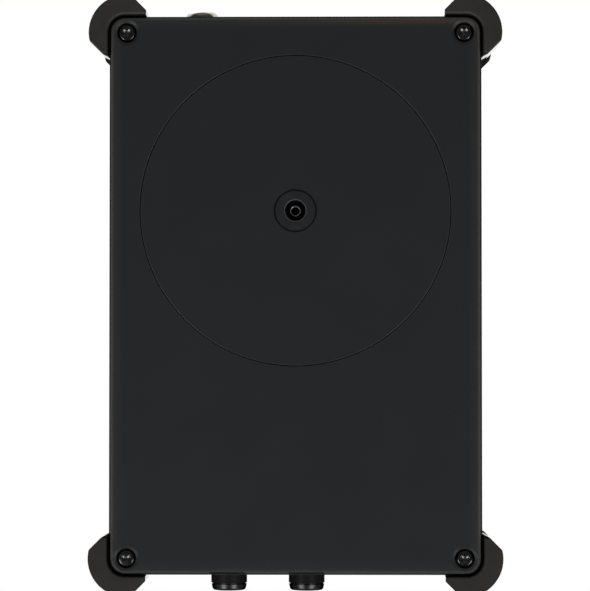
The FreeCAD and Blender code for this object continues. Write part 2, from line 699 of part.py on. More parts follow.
def output_socket(x):
    """An output socket: an open cup with three pins standing in it."""
    front = PANEL_FACE + 1
    floor_y = PANEL_FACE - CUP_DEPTH
    cup = rod_y(x, ROUND_SOCKET_Z, floor_y, front, CUP_R)
    key = block(x - 1.2, x + 1.2, floor_y, front, ROUND_SOCKET_Z - CUP_R - 0.9, ROUND_SOCKET_Z)
    seats = [rod_y(px, pz, SOCKET_BACK_Y + 4, front, PIN_R) for px, pz in pin_places(x, PIN_REACH)]
    return without(socket_shell(x), [cup, key] + seats)


def output_pins(x):
    floor_y = PANEL_FACE - CUP_DEPTH
    pins = []
    for px, pz in pin_places(x, PIN_REACH):
        pin = rod_y(px, pz, SOCKET_BACK_Y + 4, floor_y + PIN_LONG, PIN_R)
        pins.append(pin.makeFillet(0.9, face_edges(pin, V(0, 1, 0), 0)))
    return pins


def socket_contacts():
    """The metal contacts: the output pins and the middle pin of the power socket."""
    pins = output_pins(ROUND_SOCKET_X[0]) + output_pins(ROUND_SOCKET_X[1])
    power = rod_y(POWER_SOCKET_X, JACK_LOW_Z, PANEL_BACK - 12, PANEL_FACE - 1.5, 1.0)
    pins.append(power.makeFillet(0.7, face_edges(power, V(0, 1, 0), 0)))
    return Part.makeCompound(pins)


def socket_screws():
    screw = pan_screw(2.1, 1.5, SOCKET_SCREW_R, 8.5, 2.2)
    screw = facing_front(screw, 0, 0, PANEL_FACE)
    places = [(x + dx, ROUND_SOCKET_Z + dz) for x in ROUND_SOCKET_X for dx, dz in socket_screw_steps()]
    return Part.makeCompound([placed(screw, x, 0, z) for x, z in places])


def socket_board():
    """The upright board behind the four round sockets."""
    half = ROUND_SOCKET_X[3] + 14.75
    top = ROUND_SOCKET_Z + 10.5
    return block(-half, half, SOCKET_BACK_Y - BOARD_SHEET, SOCKET_BACK_Y, BOARD_Z1 + 1, top)


def jack_body(x, z, tall):
    """A jack's moulded body with its threaded bush through the panel, made for the rear side."""
    body = block(x - 8, x + 8, PANEL_BACK - JACK_LONG, PANEL_BACK, BOARD_Z1, BOARD_Z1 + tall)
    bush = rod_y(x, z, PANEL_BACK - 1, PANEL_FACE + 1.6, JACK_BUSH_R)
    return fused([body, bush])


def line_jack():
    body = jack_body(LINE_JACK_X, JACK_LOW_Z, 12.0)
    body = fused([body, rod_y(LINE_JACK_X, JACK_LOW_Z, PANEL_FACE, FERRULE_END_Y - 0.5, JACK_BUSH_R)])
    return body.cut(rod_y(LINE_JACK_X, JACK_LOW_Z, PANEL_BACK - JACK_LONG + 2, FAR, JACK_R))


def line_jack_ferrule():
    """The bright round nut on the line jack, with a well rounded outer rim."""
    long = FERRULE_END_Y - PANEL_FACE
    inner = JACK_BUSH_R + NUT_PLAY
    nut = turned([
        (inner, 0), (FERRULE_R, 0), (FERRULE_R, long),
        (JACK_R + 0.1, long), (JACK_R + 0.1, long - 0.45), (inner, long - 0.45),
    ])
    end = [e for e in nut.Edges if e.BoundBox.ZMin > long - 1e-6]
    nut = nut.makeFillet(FERRULE_ROUND_R, [max(end, key=lambda e: e.Length)])
    return facing_rear(nut, LINE_JACK_X, JACK_LOW_Z, PANEL_FACE)


def front_jack(x):
    """A jack at the front, the rear kind turned round."""
    body = jack_body(-x, KNOB_Z, 17.5)
    body = body.cut(rod_y(-x, KNOB_Z, PANEL_BACK - JACK_LONG + 2, FAR, JACK_R))
    return body.rotate(V(0, 0, 0), V(0, 0, 1), 180)


def ring_of_rods(count, ring_r, radius, z0, z1):
    """Thin rods on a circle, for cutting notches in a rim."""
    steps = [2 * math.pi * k / count for k in range(count)]
    return [rod(ring_r * math.cos(a), ring_r * math.sin(a), z0, z1, radius) for a in steps]


def jack_nuts():
    """Flat black nuts on the two front jacks, with fine notches round the rim."""
    inner = JACK_BUSH_R + NUT_PLAY
    nut = turned([(inner, 0), (6.9, 0), (6.9, 1.2), (6.5, 1.6), (inner, 1.6)])
    nut = without(nut, ring_of_rods(24, 7.0, 0.35, -1, 3))
    return Part.makeCompound([facing_front(nut, x, KNOB_Z, -PANEL_FACE)
                              for x in (PHONES_JACK_X, INSTRUMENT_JACK_X)])


def usb_socket():
    """The metal shell of the USB socket, open to the rear."""
    y0 = PANEL_BACK - 7.0
    y1 = PANEL_FACE - 0.2
    outer = rounded_window(USB_X - 4.5, USB_X + 4.5, USB_Z - 1.6, USB_Z + 1.6, y0, y1, 1.55)
    inner = rounded_window(USB_X - 4.2, USB_X + 4.2, USB_Z - 1.3, USB_Z + 1.3, y0 + 0.8, y1 + 1, 1.25)
    legs = [block(USB_X + s - 0.6, USB_X + s + 0.6, y0, y0 + 3, BOARD_Z1, USB_Z - 1.0) for s in (-3.6, 3.6)]
    return fused([outer] + legs).cut(inner)


def usb_tongue():
    return block(USB_X - 3.35, USB_X + 3.35, PANEL_BACK - 6.2, PANEL_FACE - 1.0, USB_Z - 0.35, USB_Z + 0.35)


def power_socket():
    x = POWER_SOCKET_X
    body = block(x - 5, x + 5, PANEL_BACK - 14, PANEL_BACK, BOARD_Z1, BOARD_Z1 + 12)
    nose = rod_y(x, JACK_LOW_Z, PANEL_BACK - 1, PANEL_FACE - 0.1, 4.1)
    cavity = rod_y(x, JACK_LOW_Z, PANEL_BACK - 9, PANEL_FACE + 1, 3.15)
    seat = rod_y(x, JACK_LOW_Z, PANEL_BACK - 12, PANEL_BACK, 1.0)
    return without(fused([body, nose]), [cavity, seat])


def power_switch():
    """The switch body, with a well that the button's stem slides in."""
    x = POWER_BUTTON_X
    body = block(x - 5, x + 5, PANEL_BACK - 18, PANEL_BACK - 3, BOARD_Z1, BOARD_Z1 + 12)
    well = rod_y(x, JACK_LOW_Z, PANEL_BACK - 10.3 - POWER_TRAVEL, PANEL_BACK, 2.6)
    return body.cut(well)


def power_button():
    """A round push button whose stem slides in the switch behind the panel."""
    x = POWER_BUTTON_X
    y1 = PANEL_FACE + POWER_TRAVEL + 0.3
    cap = rod_y(x, JACK_LOW_Z, PANEL_BACK - 1.2, y1, POWER_BUTTON_R)
    cap = cap.makeFillet(0.6, face_edges(cap, V(0, 1, 0), 0))
    flange = rod_y(x, JACK_LOW_Z, PANEL_BACK - 1.2, PANEL_BACK - 0.1, POWER_BUTTON_R + 1)
    stem = rod_y(x, JACK_LOW_Z, PANEL_BACK - 10, PANEL_BACK - 1, 2.5)
    dish = rod_y(x, JACK_LOW_Z, y1 - 0.25, y1 + 1, POWER_BUTTON_R - 1.2)
    return fused([cap, flange, stem]).cut(dish)


def front_panel():
    plate = block(-PANEL_X, PANEL_X, -PANEL_FACE, -PANEL_BACK, PANEL_Z0, FRONT_PANEL_Z1)
    holes = [rod_y(x, KNOB_Z, -FAR, -90, POT_BUSH_R + 0.1) for x in KNOB_X]
    holes += [rod_y(x, KNOB_Z, -FAR, -90, JACK_BUSH_R + 0.2) for x in (PHONES_JACK_X, INSTRUMENT_JACK_X)]
    return without(plate, holes)


def front_board():
    """The upright board that carries the two potentiometers."""
    y1 = -PANEL_BACK + 8.0
    return block(-12, 34, y1, y1 + BOARD_SHEET, BOARD_Z1 + 1, 33.0)


def potentiometers():
    pots = []
    for x in KNOB_X:
        body = rounded_window(x - 5, x + 5, KNOB_Z - 6, KNOB_Z + 5.5, -PANEL_BACK, -PANEL_BACK + 8, 0.8)
        bush = rod_y(x, KNOB_Z, -PANEL_FACE - 3.4, -PANEL_BACK + 1, POT_BUSH_R)
        bore = rod_y(x, KNOB_Z, -FAR, -PANEL_BACK + 6, SHAFT_R + RUNNING)
        pots.append(fused([body, bush]).cut(bore))
    return Part.makeCompound(pots)


def hexagon(across, z0, z1, bore):
    points = [V(across / math.sqrt(3) * math.cos(math.radians(60 * k)),
                across / math.sqrt(3) * math.sin(math.radians(60 * k)), z0) for k in range(6)]
    nut = Part.Face(Part.makePolygon(points + [points[0]])).extrude(V(0, 0, z1 - z0))
    return nut.cut(rod(0, 0, z0 - 1, z1 + 1, bore))


def potentiometer_nuts():
    nut = hexagon(9.0, 0, 1.8, POT_BUSH_R + NUT_PLAY)
    return Part.makeCompound([facing_front(nut, x, KNOB_Z, -PANEL_FACE) for x in KNOB_X])


def knob_shaft(x):
    return rod_y(x, KNOB_Z, KNOB_END_Y + 2.2, -PANEL_BACK + 5.5, SHAFT_R)


def knob_grip(x):
    """The knob's smooth grip, hollow behind to clear the nut on the panel."""
    foot = KNOB_GAP
    groove = -KNOB_GROOVE_Y - PANEL_FACE
    hub = SHAFT_R + PRESSED
    grip = turned([
        (5.7, foot), (KNOB_R - 0.3, foot), (KNOB_R, foot + 0.3), (KNOB_R, groove - 0.45),
        (KNOB_R - 0.2, groove - 0.25), (hub, groove - 0.25), (hub, foot + 3.4), (5.7, foot + 3.4),
    ])
    return facing_front(grip, x, KNOB_Z, -PANEL_FACE)


def knob_cap(x):
    """The glossy end ring of the knob, closed in front: a slight taper and then a rounded edge."""
    groove = -KNOB_GROOVE_Y - PANEL_FACE
    end = -KNOB_END_Y - PANEL_FACE
    hub = SHAFT_R + PRESSED
    outer = KNOB_R - 0.1
    taper = math.radians(KNOB_END_TAPER)
    taper_end = end - KNOB_ROUND_R * (1 - math.sin(taper))
    taper_r = outer - (taper_end - groove - 0.25) * math.tan(taper)
    face_r = taper_r - KNOB_ROUND_R * math.cos(taper)
    points = [V(r, 0, h) for r, h in [
        (face_r, end), (face_r - 0.3, end - 0.35), (0, end - 0.35), (0, end - 2.2), (hub, end - 2.2),
        (hub, groove - 0.25), (KNOB_R - 0.6, groove - 0.25), (KNOB_R - 0.6, groove + 0.1),
        (outer, groove + 0.25), (taper_r, taper_end),
    ]]
    sides = [Part.makeLine(a, b) for a, b in zip(points, points[1:])]
    half = (taper + math.pi / 2) / 2
    halfway = V(face_r + KNOB_ROUND_R * math.cos(half), 0, end - KNOB_ROUND_R * (1 - math.sin(half)))
    rounding = Part.Arc(points[-1], halfway, points[0])
    face = Part.Face(Part.Wire(sides + [rounding.toShape()]))
    cap = face.revolve(V(0, 0, 0), V(0, 0, 1), 360)
    return facing_front(cap, x, KNOB_Z, -PANEL_FACE)


def display_glass():
    glass = rounded_prism(-GLASS_U, GLASS_U, GLASS_V0, GLASS_V1, -GLASS_THICK - 0.1, -0.1, GLASS_CORNER_R)
    glass = glass.makeChamfer(0.25, face_edges(glass, V(0, 0, 1), 0))
    return on_top(glass)


def display_panel():
    """The screen module under the glass, in the case's window."""
    top = -GLASS_THICK - 0.25
    plate = rounded_prism(-SCREEN_U + 0.3, SCREEN_U - 0.3, SCREEN_V0 + 0.3, SCREEN_V1 - 0.3,
                          top - SCREEN_THICK, top, SCREEN_CORNER_R)
    return on_top(plate)


def control_board():
    """The board under the top that carries the encoder and the button switches."""
    board = rounded_prism(-58, 61, -90, 2, CONTROL_BOARD_W - BOARD_SHEET, CONTROL_BOARD_W, 3.0)
    holes = [rod(u, v, -TALL, 0, BOARD_SCREW_R + 0.125) for u, v in CONTROL_POST_AT]
    return on_top(without(board, holes))


def dial_encoder():
    body = rounded_prism(DIAL_U - 7, DIAL_U + 7, DIAL_V - 7, DIAL_V + 7, CONTROL_BOARD_W, -TOP_SKIN, 1.0)
    bush = rod(DIAL_U, DIAL_V, -TOP_SKIN - 1, 5.0, ENCODER_BUSH_R)
    bore = rod(DIAL_U, DIAL_V, CONTROL_BOARD_W + 1, 10, SHAFT_R + RUNNING)
    return on_top(fused([body, bush]).cut(bore))


def dial_nut():
    nut = hexagon(12.0, 0, 2.2, ENCODER_BUSH_R + NUT_PLAY)
    return on_top(placed(nut, DIAL_U, DIAL_V, -DISH_DEPTH))


def dial_shaft():
    return on_top(rod(DIAL_U, DIAL_V, CONTROL_BOARD_W + 1.3, 12.0, SHAFT_R))


def dial():
    """The large turned dial, hollow underneath, with a recess on top for its cap."""
    foot = DIAL_GAP - DISH_DEPTH
    top = foot + DIAL_H
    hub = SHAFT_R + PRESSED
    ring = turned([
        (24.2, foot), (DIAL_R - 0.4, foot), (DIAL_R, foot + 0.4), (DIAL_R, top - 1.6),
        (DIAL_R - 1.6, top), (DIAL_CAP_R + 0.6, top), (DIAL_CAP_R, top - 0.6), (DIAL_CAP_R, top - 1.8),
        (hub, top - 1.8), (hub, 5.6), (8.5, 5.6), (8.5, top - 4.0), (24.2, top - 4.0),
    ])
    return on_top(placed(ring, DIAL_U, DIAL_V, 0))


def dial_cap():
    top = DIAL_GAP - DISH_DEPTH + DIAL_H
    disc = rod(0, 0, top - 1.8, top - 0.9, DIAL_CAP_R - 0.1)
    dimple = rod(0, -12.5, top - 1.2, top, 3.2)
    return on_top(placed(disc.cut(dimple), DIAL_U, DIAL_V, 0))


def button(u, v):
    """A round top button with a flange under the case and a stem that presses its switch."""
    cap = rod(u, v, -TOP_SKIN - 1.4, BUTTON_PROUD, BUTTON_R)
    cap = cap.makeFillet(0.6, face_edges(cap, V(0, 0, 1), 0))
    flange = rod(u, v, -TOP_SKIN - 1.4, -TOP_SKIN - 0.1, BUTTON_R + 1.2)
    stem = rod(u, v, -TOP_SKIN - 3.4, -TOP_SKIN - 1, 1.8)
    dish = Part.makeSphere(30.0, V(u, v, BUTTON_PROUD + 29.6))
    return on_top(fused([cap, flange, stem]).cut(dish))


def button_switches():
    switches = []
    for u in BUTTON_U:
        for v in BUTTON_V:
            body = block(u - 3, u + 3, v - 3, v + 3, CONTROL_BOARD_W, CONTROL_BOARD_W + 2.4)
            well = rod(u, v, CONTROL_BOARD_W + 0.8, CONTROL_BOARD_W + 5, 2.1)
            switches.append(on_top(body.cut(well)))
    return Part.makeCompound(switches)


def status_lights():
    """Three clear light pipes between the control board and the top face."""
    pipes = []
    for u in LIGHT_U:
        pipe = fused([rod(u, LIGHT_V, CONTROL_BOARD_W, 0, LIGHT_R),
                      rod(u, LIGHT_V, CONTROL_BOARD_W, -TOP_SKIN - 0.2, LIGHT_R + 0.7)])
        pipes.append(on_top(pipe))
    return Part.makeCompound(pipes)


def ribbon_cable():
    """The flat cable from the main board up to the control board."""
    x = -41.0
    y = -18.0
    rise = 20.0
    strip = block(x - 11, x + 11, y - 0.4, y + 0.4, BOARD_Z1 + 4, BOARD_Z1 + rise)
    foot = block(x - 13, x + 13, y - 2.5, y + 2.5, BOARD_Z1, BOARD_Z1 + 4)
    head = block(x - 13, x + 13, y - 2.5, y + 2.5, BOARD_Z1 + rise, TALL)
    head = head.common(below_top(-CONTROL_BOARD_W + BOARD_SHEET))
    return fused([foot, strip, head])


def save_all():
    save("bottom_cover", bottom_cover())
    save("top_housing", top_housing())
    names = {(-1, 1): "rear_left", (1, 1): "rear_right", (-1, -1): "front_left", (1, -1): "front_right"}
    for signs, name in names.items():
        save(name + "_bumper", bumper(*signs))
    save("bottom_screws", bottom_screws())
    save("corner_posts", corner_posts())
    save("mount_bush", mount_bush())
    save("mount_insert", mount_insert())
    save("main_board", main_board())
    save("board_standoffs", board_standoffs())
    save("board_screws", board_screws())
    save("board_chips", board_chips())
    save("board_capacitors", board_capacitors())
    save("heat_sink", heat_sink())
    save("rear_panel", rear_panel())
    save("output_socket_left", output_socket(ROUND_SOCKET_X[0]))
    save("output_socket_right", output_socket(ROUND_SOCKET_X[1]))
    save("combo_socket_left", combo_socket(ROUND_SOCKET_X[2]))
    save("combo_socket_right", combo_socket(ROUND_SOCKET_X[3]))
    save("socket_contacts", socket_contacts())
    save("socket_screws", socket_screws())
    save("socket_board", socket_board())
    save("line_jack", line_jack())
    save("line_jack_ferrule", line_jack_ferrule())
    save("usb_socket", usb_socket())
    save("usb_tongue", usb_tongue())
    save("power_socket", power_socket())
    save("power_switch", power_switch())
    save("power_button", power_button())
    save("front_panel", front_panel())
    save("front_board", front_board())
    save("phones_jack", front_jack(PHONES_JACK_X))
    save("instrument_jack", front_jack(INSTRUMENT_JACK_X))
    save("jack_nuts", jack_nuts())
    save("potentiometers", potentiometers())
    save("potentiometer_nuts", potentiometer_nuts())
    for side, x in zip(("left", "right"), KNOB_X):
        save(side + "_knob", knob_grip(x))
        save(side + "_knob_cap", knob_cap(x))
        save(side + "_knob_shaft", knob_shaft(x))
    save("display_glass", display_glass())
    save("display_panel", display_panel())
    save("control_board", control_board())
    save("dial_encoder", dial_encoder())
    save("dial_nut", dial_nut())
    save("dial", dial())
    save("dial_cap", dial_cap())
    save("dial_shaft", dial_shaft())
    for side, u in zip(("left", "right"), BUTTON_U):
        for end, v in zip(("front", "rear"), BUTTON_V):
            save(side + "_" + end + "_button", button(u, v))
    save("button_switches", button_switches())
    save("status_lights", status_lights())
    save("ribbon_cable", ribbon_cable())


os.makedirs("parts", exist_ok=True)
save_all()
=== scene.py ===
import json
import math

import bmesh
import bpy
import numpy as np
from mathutils import Matrix, Vector


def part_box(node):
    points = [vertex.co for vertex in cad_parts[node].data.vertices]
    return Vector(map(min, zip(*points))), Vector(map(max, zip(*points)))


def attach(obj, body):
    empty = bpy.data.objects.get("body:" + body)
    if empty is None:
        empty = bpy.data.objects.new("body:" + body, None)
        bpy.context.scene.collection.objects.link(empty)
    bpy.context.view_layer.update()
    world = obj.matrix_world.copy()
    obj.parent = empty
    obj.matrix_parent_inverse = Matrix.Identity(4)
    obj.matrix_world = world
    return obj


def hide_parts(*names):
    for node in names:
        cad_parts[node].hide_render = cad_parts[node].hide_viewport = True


mm = 0.001
sides = ("left", "right")   # of the knobs and of the input sockets


# Placing and building

def unit(vector):
    vector = np.asarray(vector, float)
    return vector / np.linalg.norm(vector)


# Points given as (side, third, up) steps are carried to a centre, with up along an axis.
def alongAxis(points, centre, axis, side):
    axis = unit(axis)
    side = np.asarray(side, float)
    side = unit(side - axis * (side @ axis))
    third = np.cross(axis, side)
    steps = points[..., 0:1] * side + points[..., 1:2] * third + points[..., 2:3] * axis
    return np.asarray(centre, float) + steps


# Angles of the columns of a closed grid, as one row.
def fullTurn(columns):
    return np.linspace(0, 2 * math.pi, columns, endpoint=False)[None, :]


# Values down a column, each repeated all the way round.
def allRound(values, around):
    return np.reshape(values, (-1, 1)) * np.ones_like(around)


# Points at (radius times cosine, radius times sine, height) round local z.
def roundAxis(radius, height, around):
    return np.stack([radius * np.cos(around), radius * np.sin(around), height], axis=-1)


# Corner numbers of the faces between neighbours on a rows by columns grid. Rows or columns that
# are closed join their last to their first.
def gridFaces(rows, columns, closedRows, closedColumns):
    row = np.arange(rows if closedRows else rows - 1)[:, None]
    column = np.arange(columns if closedColumns else columns - 1)[None, :]
    nextRow = (row + 1) % rows
    nextColumn = (column + 1) % columns
    corners = [row * columns + column, row * columns + nextColumn,
               nextRow * columns + nextColumn, nextRow * columns + column]
    return np.stack(corners, axis=-1).reshape(-1, 4)


# Six times the volume inside the faces: the sum of corner . (corner x corner) over the two
# triangles of each face.
def windsOutwards(points, faces):
    a, b, c, d = (points[faces[:, k]] for k in range(4))
    return np.sum(a * (np.cross(b, c) + np.cross(c, d))) > 0


# Several grids of points become one mesh, each turned so that its faces look outwards, with
# poles welded. A grid is (points, whether its rows close, whether its columns close).
def buildPiece(name, grids, body, material, replaced=(), sharpAngle=35,
               weld=0.0004 * mm):
    allPoints = []
    allFaces = []
    count = 0
    for points, closedRows, closedColumns in grids:
        rows, columns = points.shape[:2]
        flat = points.reshape(-1, 3)
        faces = gridFaces(rows, columns, closedRows, closedColumns)
        if not windsOutwards(flat, faces):
            faces = faces[:, ::-1]
        allPoints.append(flat)
        allFaces.append(faces + count)
        count += len(flat)
    mesh = bpy.data.meshes.new(name)
    mesh.from_pydata(np.concatenate(allPoints).tolist(), [], np.concatenate(allFaces).tolist())
    work = bmesh.new()
    work.from_mesh(mesh)
    bmesh.ops.remove_doubles(work, verts=work.verts, dist=weld)
    bmesh.ops.dissolve_degenerate(work, edges=work.edges, dist=weld)
    work.to_mesh(mesh)
    work.free()
    mesh.materials.append(material)
    mesh.shade_smooth()
    mesh.set_sharp_from_angle(angle=math.radians(sharpAngle))
    piece = bpy.data.objects.new(name, mesh)
    bpy.context.scene.collection.objects.link(piece)
    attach(piece, body)
    if replaced:
        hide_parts(*replaced)


# A closed outline of (radius, height) corners, each rounded: the corner is replaced by a
# quadratic curve that starts and ends a rounding's length away along its two sides, or at most
# a share of the shorter side.
def roundedOutline(corners, rounding, steps, sideShare=0.45):
    corners = np.asarray(corners, float)
    before = np.roll(corners, 1, axis=0)
    after = np.roll(corners, -1, axis=0)
    lengthIn = np.linalg.norm(corners - before, axis=1, keepdims=True)
    lengthOut = np.linalg.norm(after - corners, axis=1, keepdims=True)
    reach = np.minimum(rounding, sideShare * np.minimum(lengthIn, lengthOut))
    start = corners + (before - corners) / lengthIn * reach
    end = corners + (after - corners) / lengthOut * reach
    t = np.linspace(0, 1, steps)[None, :, None]
    curve = (1 - t) ** 2 * start[:, None] + 2 * t * (1 - t) * corners[:, None]
    curve = curve + t ** 2 * end[:, None]
    return curve.reshape(-1, 2)


# Adds points along the sides of a closed outline where neighbours are further apart than a step.
def filledOutline(outline, step):
    filled = []
    for here, there in zip(outline, np.roll(outline, -1, axis=0)):
        count = max(1, int(np.ceil(np.linalg.norm(there - here) / step)))
        filled.append(here + (there - here) * (np.arange(count) / count)[:, None])
    return np.concatenate(filled)


# A rounded bar: x, y, z = half sizes times a squared-off ball, where each cosine and sine is
# raised to a power of at most 1, with its sign kept.
def roundedBar(halfSizes, power, rows=17, columns=28):
    def squared(values):
        return np.sign(values) * np.abs(values) ** power
    rise = np.linspace(-math.pi / 2, math.pi / 2, rows)[:, None]
    around = fullTurn(columns)
    across = squared(np.cos(rise))
    bar = [across * squared(np.cos(around)), across * squared(np.sin(around)),
           squared(np.sin(rise)) * np.ones_like(around)]
    return np.stack(bar, axis=-1) * np.asarray(halfSizes, float)


# Shader building

def addNode(tree, kind, **settings):
    node = tree.nodes.new("ShaderNode" + kind)
    for name, value in settings.items():
        setattr(node, name, value)
    return node


def feed(tree, socket, value):
    if isinstance(value, bpy.types.NodeSocket):
        tree.links.new(value, socket)
    else:
        socket.default_value = value


def calc(tree, operation, first, second=0.0):
    node = addNode(tree, "Math", operation=operation)
    feed(tree, node.inputs[0], first)
    feed(tree, node.inputs[1], second)
    return node.outputs[0]


def product(tree, first, *others):
    for other in others:
        first = calc(tree, "MULTIPLY", first, other)
    return first


# The root of the sum of two squares.
def hypotenuse(tree, first, second):
    squares = calc(tree, "ADD", product(tree, first, first), product(tree, second, second))
    return calc(tree, "SQRT", squares)


# Takes a value from one span to another, held at the ends.
def spread(tree, value, low, high, toLow=0.0, toHigh=1.0):
    node = addNode(tree, "MapRange", interpolation_type="SMOOTHSTEP")
    for socket, number in zip(node.inputs[:5], (value, low, high, toLow, toHigh)):
        feed(tree, socket, number)
    return node.outputs[0]


# 1 below the span and 0 above it.
def fade(tree, value, low, high):
    return spread(tree, value, low, high, 1.0, 0.0)


def numberMix(tree, share, first, second):
    node = addNode(tree, "Mix", data_type="FLOAT")
    for socket, value in zip((node.inputs[0], *node.inputs[2:4]), (share, first, second)):
        feed(tree, socket, value)
    return node.outputs[0]


# Mixes colours, each a socket or three numbers.
def colourMix(tree, share, first, second):
    node = addNode(tree, "Mix", data_type="RGBA")
    feed(tree, node.inputs[0], share)
    for socket, colour in zip(node.inputs[6:8], (first, second)):
        feed(tree, socket, (*colour, 1) if isinstance(colour, tuple) else colour)
    return node.outputs[2]


# Coordinates of the object, moved and turned so that a centre is at zero and an axis is local z.
def localPlace(tree, centre=(0, 0, 0), turn=(0, 0, 0), stretch=(1, 1, 1)):
    source = addNode(tree, "TexCoord").outputs["Object"]
    node = addNode(tree, "Mapping", vector_type="TEXTURE")
    feed(tree, node.inputs["Vector"], source)
    node.inputs["Location"].default_value = centre
    node.inputs["Rotation"].default_value = turn
    node.inputs["Scale"].default_value = stretch
    return node.outputs[0]


def coordinates(tree, place):
    node = addNode(tree, "SeparateXYZ")
    feed(tree, node.inputs[0], place)
    return node.outputs


def fromAxis(tree, place):
    return hypotenuse(tree, *coordinates(tree, place)[:2])


# Cloudy noise from 0 to 1 whose patches are about a period apart.
def grain(tree, place, period, detail=2.0, rough=0.5):
    node = addNode(tree, "TexNoise")
    feed(tree, node.inputs["Vector"], place)
    node.inputs["Scale"].default_value = 1 / period
    node.inputs["Detail"].default_value = detail
    node.inputs["Roughness"].default_value = rough
    return node.outputs[0]


# The same noise along one number, as for the rings that turning leaves.
def rings(tree, value, period, detail=3.0):
    node = addNode(tree, "TexNoise", noise_dimensions="1D")
    feed(tree, node.inputs["W"], calc(tree, "DIVIDE", value, period))
    node.inputs["Scale"].default_value = 1.0
    node.inputs["Detail"].default_value = detail
    return node.outputs[0]


# A sine along one number, a pitch apart.
def waves(tree, value, pitch):
    return calc(tree, "SINE", product(tree, value, 2 * math.pi / pitch))


def heightBump(tree, height, depth):
    node = addNode(tree, "Bump")
    node.inputs["Distance"].default_value = depth
    node.inputs["Strength"].default_value = 1.0
    feed(tree, node.inputs["Height"], height)
    return node.outputs[0]


# A material with one Principled shader, whose constants go on its own sockets.
def newFinish(name, constants):
    material = bpy.data.materials.new(name)
    material.use_nodes = True
    tree = material.node_tree
    tree.nodes.clear()
    shader = addNode(tree, "BsdfPrincipled")
    out = addNode(tree, "OutputMaterial")
    tree.links.new(shader.outputs[0], out.inputs["Surface"])
    for socket, value in constants.items():
        shader.inputs[socket].default_value = value
    return material, tree, shader


def linkSurface(tree, shader, colour, rough, height, depth):
    feed(tree, shader.inputs["Base Color"], colour)
    feed(tree, shader.inputs["Roughness"], rough)
    feed(tree, shader.inputs["Normal"], heightBump(tree, height, depth))


noiseSpan = (0.3, 0.7)   # the part of the noises' range that takes a look from one end to the other
grainMix = {"fine": 0.45, "slow": 0.55, "detail": 3.0, "breakUp": 0.6}


# A finish with fine grain under slow patches. Colour goes from deep to pale with the patches and
# the grain, roughness from smooth to rough with the patches, and the grain is a bump.
def grainedFinish(name, look):
    constants = {"Metallic": look.get("metal", 0.0), "Specular IOR Level": look.get("shine", 0.5)}
    constants.update(look.get("more", {}))
    material, tree, shader = newFinish(name, constants)
    place = localPlace(tree, stretch=look.get("stretch", (1, 1, 1)))
    fine = grain(tree, place, look["grain"], grainMix["detail"], grainMix["breakUp"])
    slow = grain(tree, place, look["patch"])
    both = calc(tree, "ADD", product(tree, fine, grainMix["fine"]),
                product(tree, slow, grainMix["slow"]))
    colour = colourMix(tree, spread(tree, both, *noiseSpan), look["deep"], look["pale"])
    rough = spread(tree, slow, *noiseSpan, look["smooth"], look["rough"])
    linkSurface(tree, shader, colour, rough, fine, look["depth"])
    return material, tree, shader, colour


# Materials

# Satin powder coat on the bottom cover, with light and shade painted into its colour. Near the
# outline a painted highlight grows paler in two steps, weaker along the front, and the turn of the
# edge is painted black as shade. The shoulders of the seat's groove carry a paler painted
# highlight, and the groove, dimples, holes and the tray's inside are painted black as shade. A band
# along the rear edge, stronger towards -x, is a warmer painted highlight, and the turn of the front
# edge carries each knob's painted shade.
coverCoat = {
    "deep": (0.0171, 0.0188, 0.0205), "pale": (0.0182, 0.0199, 0.0216),
    "halo": (0.0258, 0.0256, 0.0258), "edgeHighlight": (0.068, 0.066, 0.065),
    "bare": (0.0015, 0.0015, 0.0015), "shoulderHighlight": (0.0245, 0.0262, 0.0275),
    "groove": (0.0035, 0.0037, 0.0039), "rearHighlight": (0.043, 0.036, 0.0315),
    "shade": (0.0035, 0.0035, 0.0035),
    "grain": 0.35 * mm, "patch": 30 * mm, "depth": 0.01 * mm,
    "smooth": 0.44, "rough": 0.47, "shine": 0.2,
    "haloFrom": 6.0 * mm, "haloTo": 1.6 * mm, "edgeHighlightFrom": 1.95 * mm, "edgeHighlightTo": 0.75 * mm,
    "lineFrom": 0.72 * mm, "lineTo": 0.5 * mm, "lineTop": 3.7 * mm, "corner": 6.2 * mm,
    "sunk": 2.8 * mm, "wall": 2.2 * mm,
    "seatR": 60.0 * mm, "grooveWide": 0.3 * mm, "bevel": 0.33 * mm, "edge": 0.04 * mm,
    "rearHighlightFrom": 3.9 * mm, "rearHighlightTo": 1.9 * mm, "rearHighlightX": 45.0 * mm, "frontEdgeHighlight": 0.65,
    "knobR": 6.7 * mm, "shadeTo": 1.15 * mm,
}


# Takes a finish's roughness up to 1 where the share is 1.
def roughen(tree, shader, share):
    before = shader.inputs["Roughness"].links[0].from_socket
    feed(tree, shader.inputs["Roughness"], numberMix(tree, share, before, 1.0))


# How far a place lies inside the rounded plan: corner radius - root(mx2 + my2) -
# min(max(qx, qy), 0), where q is |place| - (half size - corner radius) and m is the larger of
# q and 0.
def insideOutline(tree, x, y, half, corner):
    q = [calc(tree, "SUBTRACT", calc(tree, "ABSOLUTE", value), reach - corner)
         for value, reach in ((x, half[0]), (y, half[1]))]
    root = hypotenuse(tree, *[calc(tree, "MAXIMUM", value, 0.0) for value in q])
    flat = calc(tree, "MINIMUM", calc(tree, "MAXIMUM", *q), 0.0)
    return calc(tree, "SUBTRACT", corner, calc(tree, "ADD", root, flat))


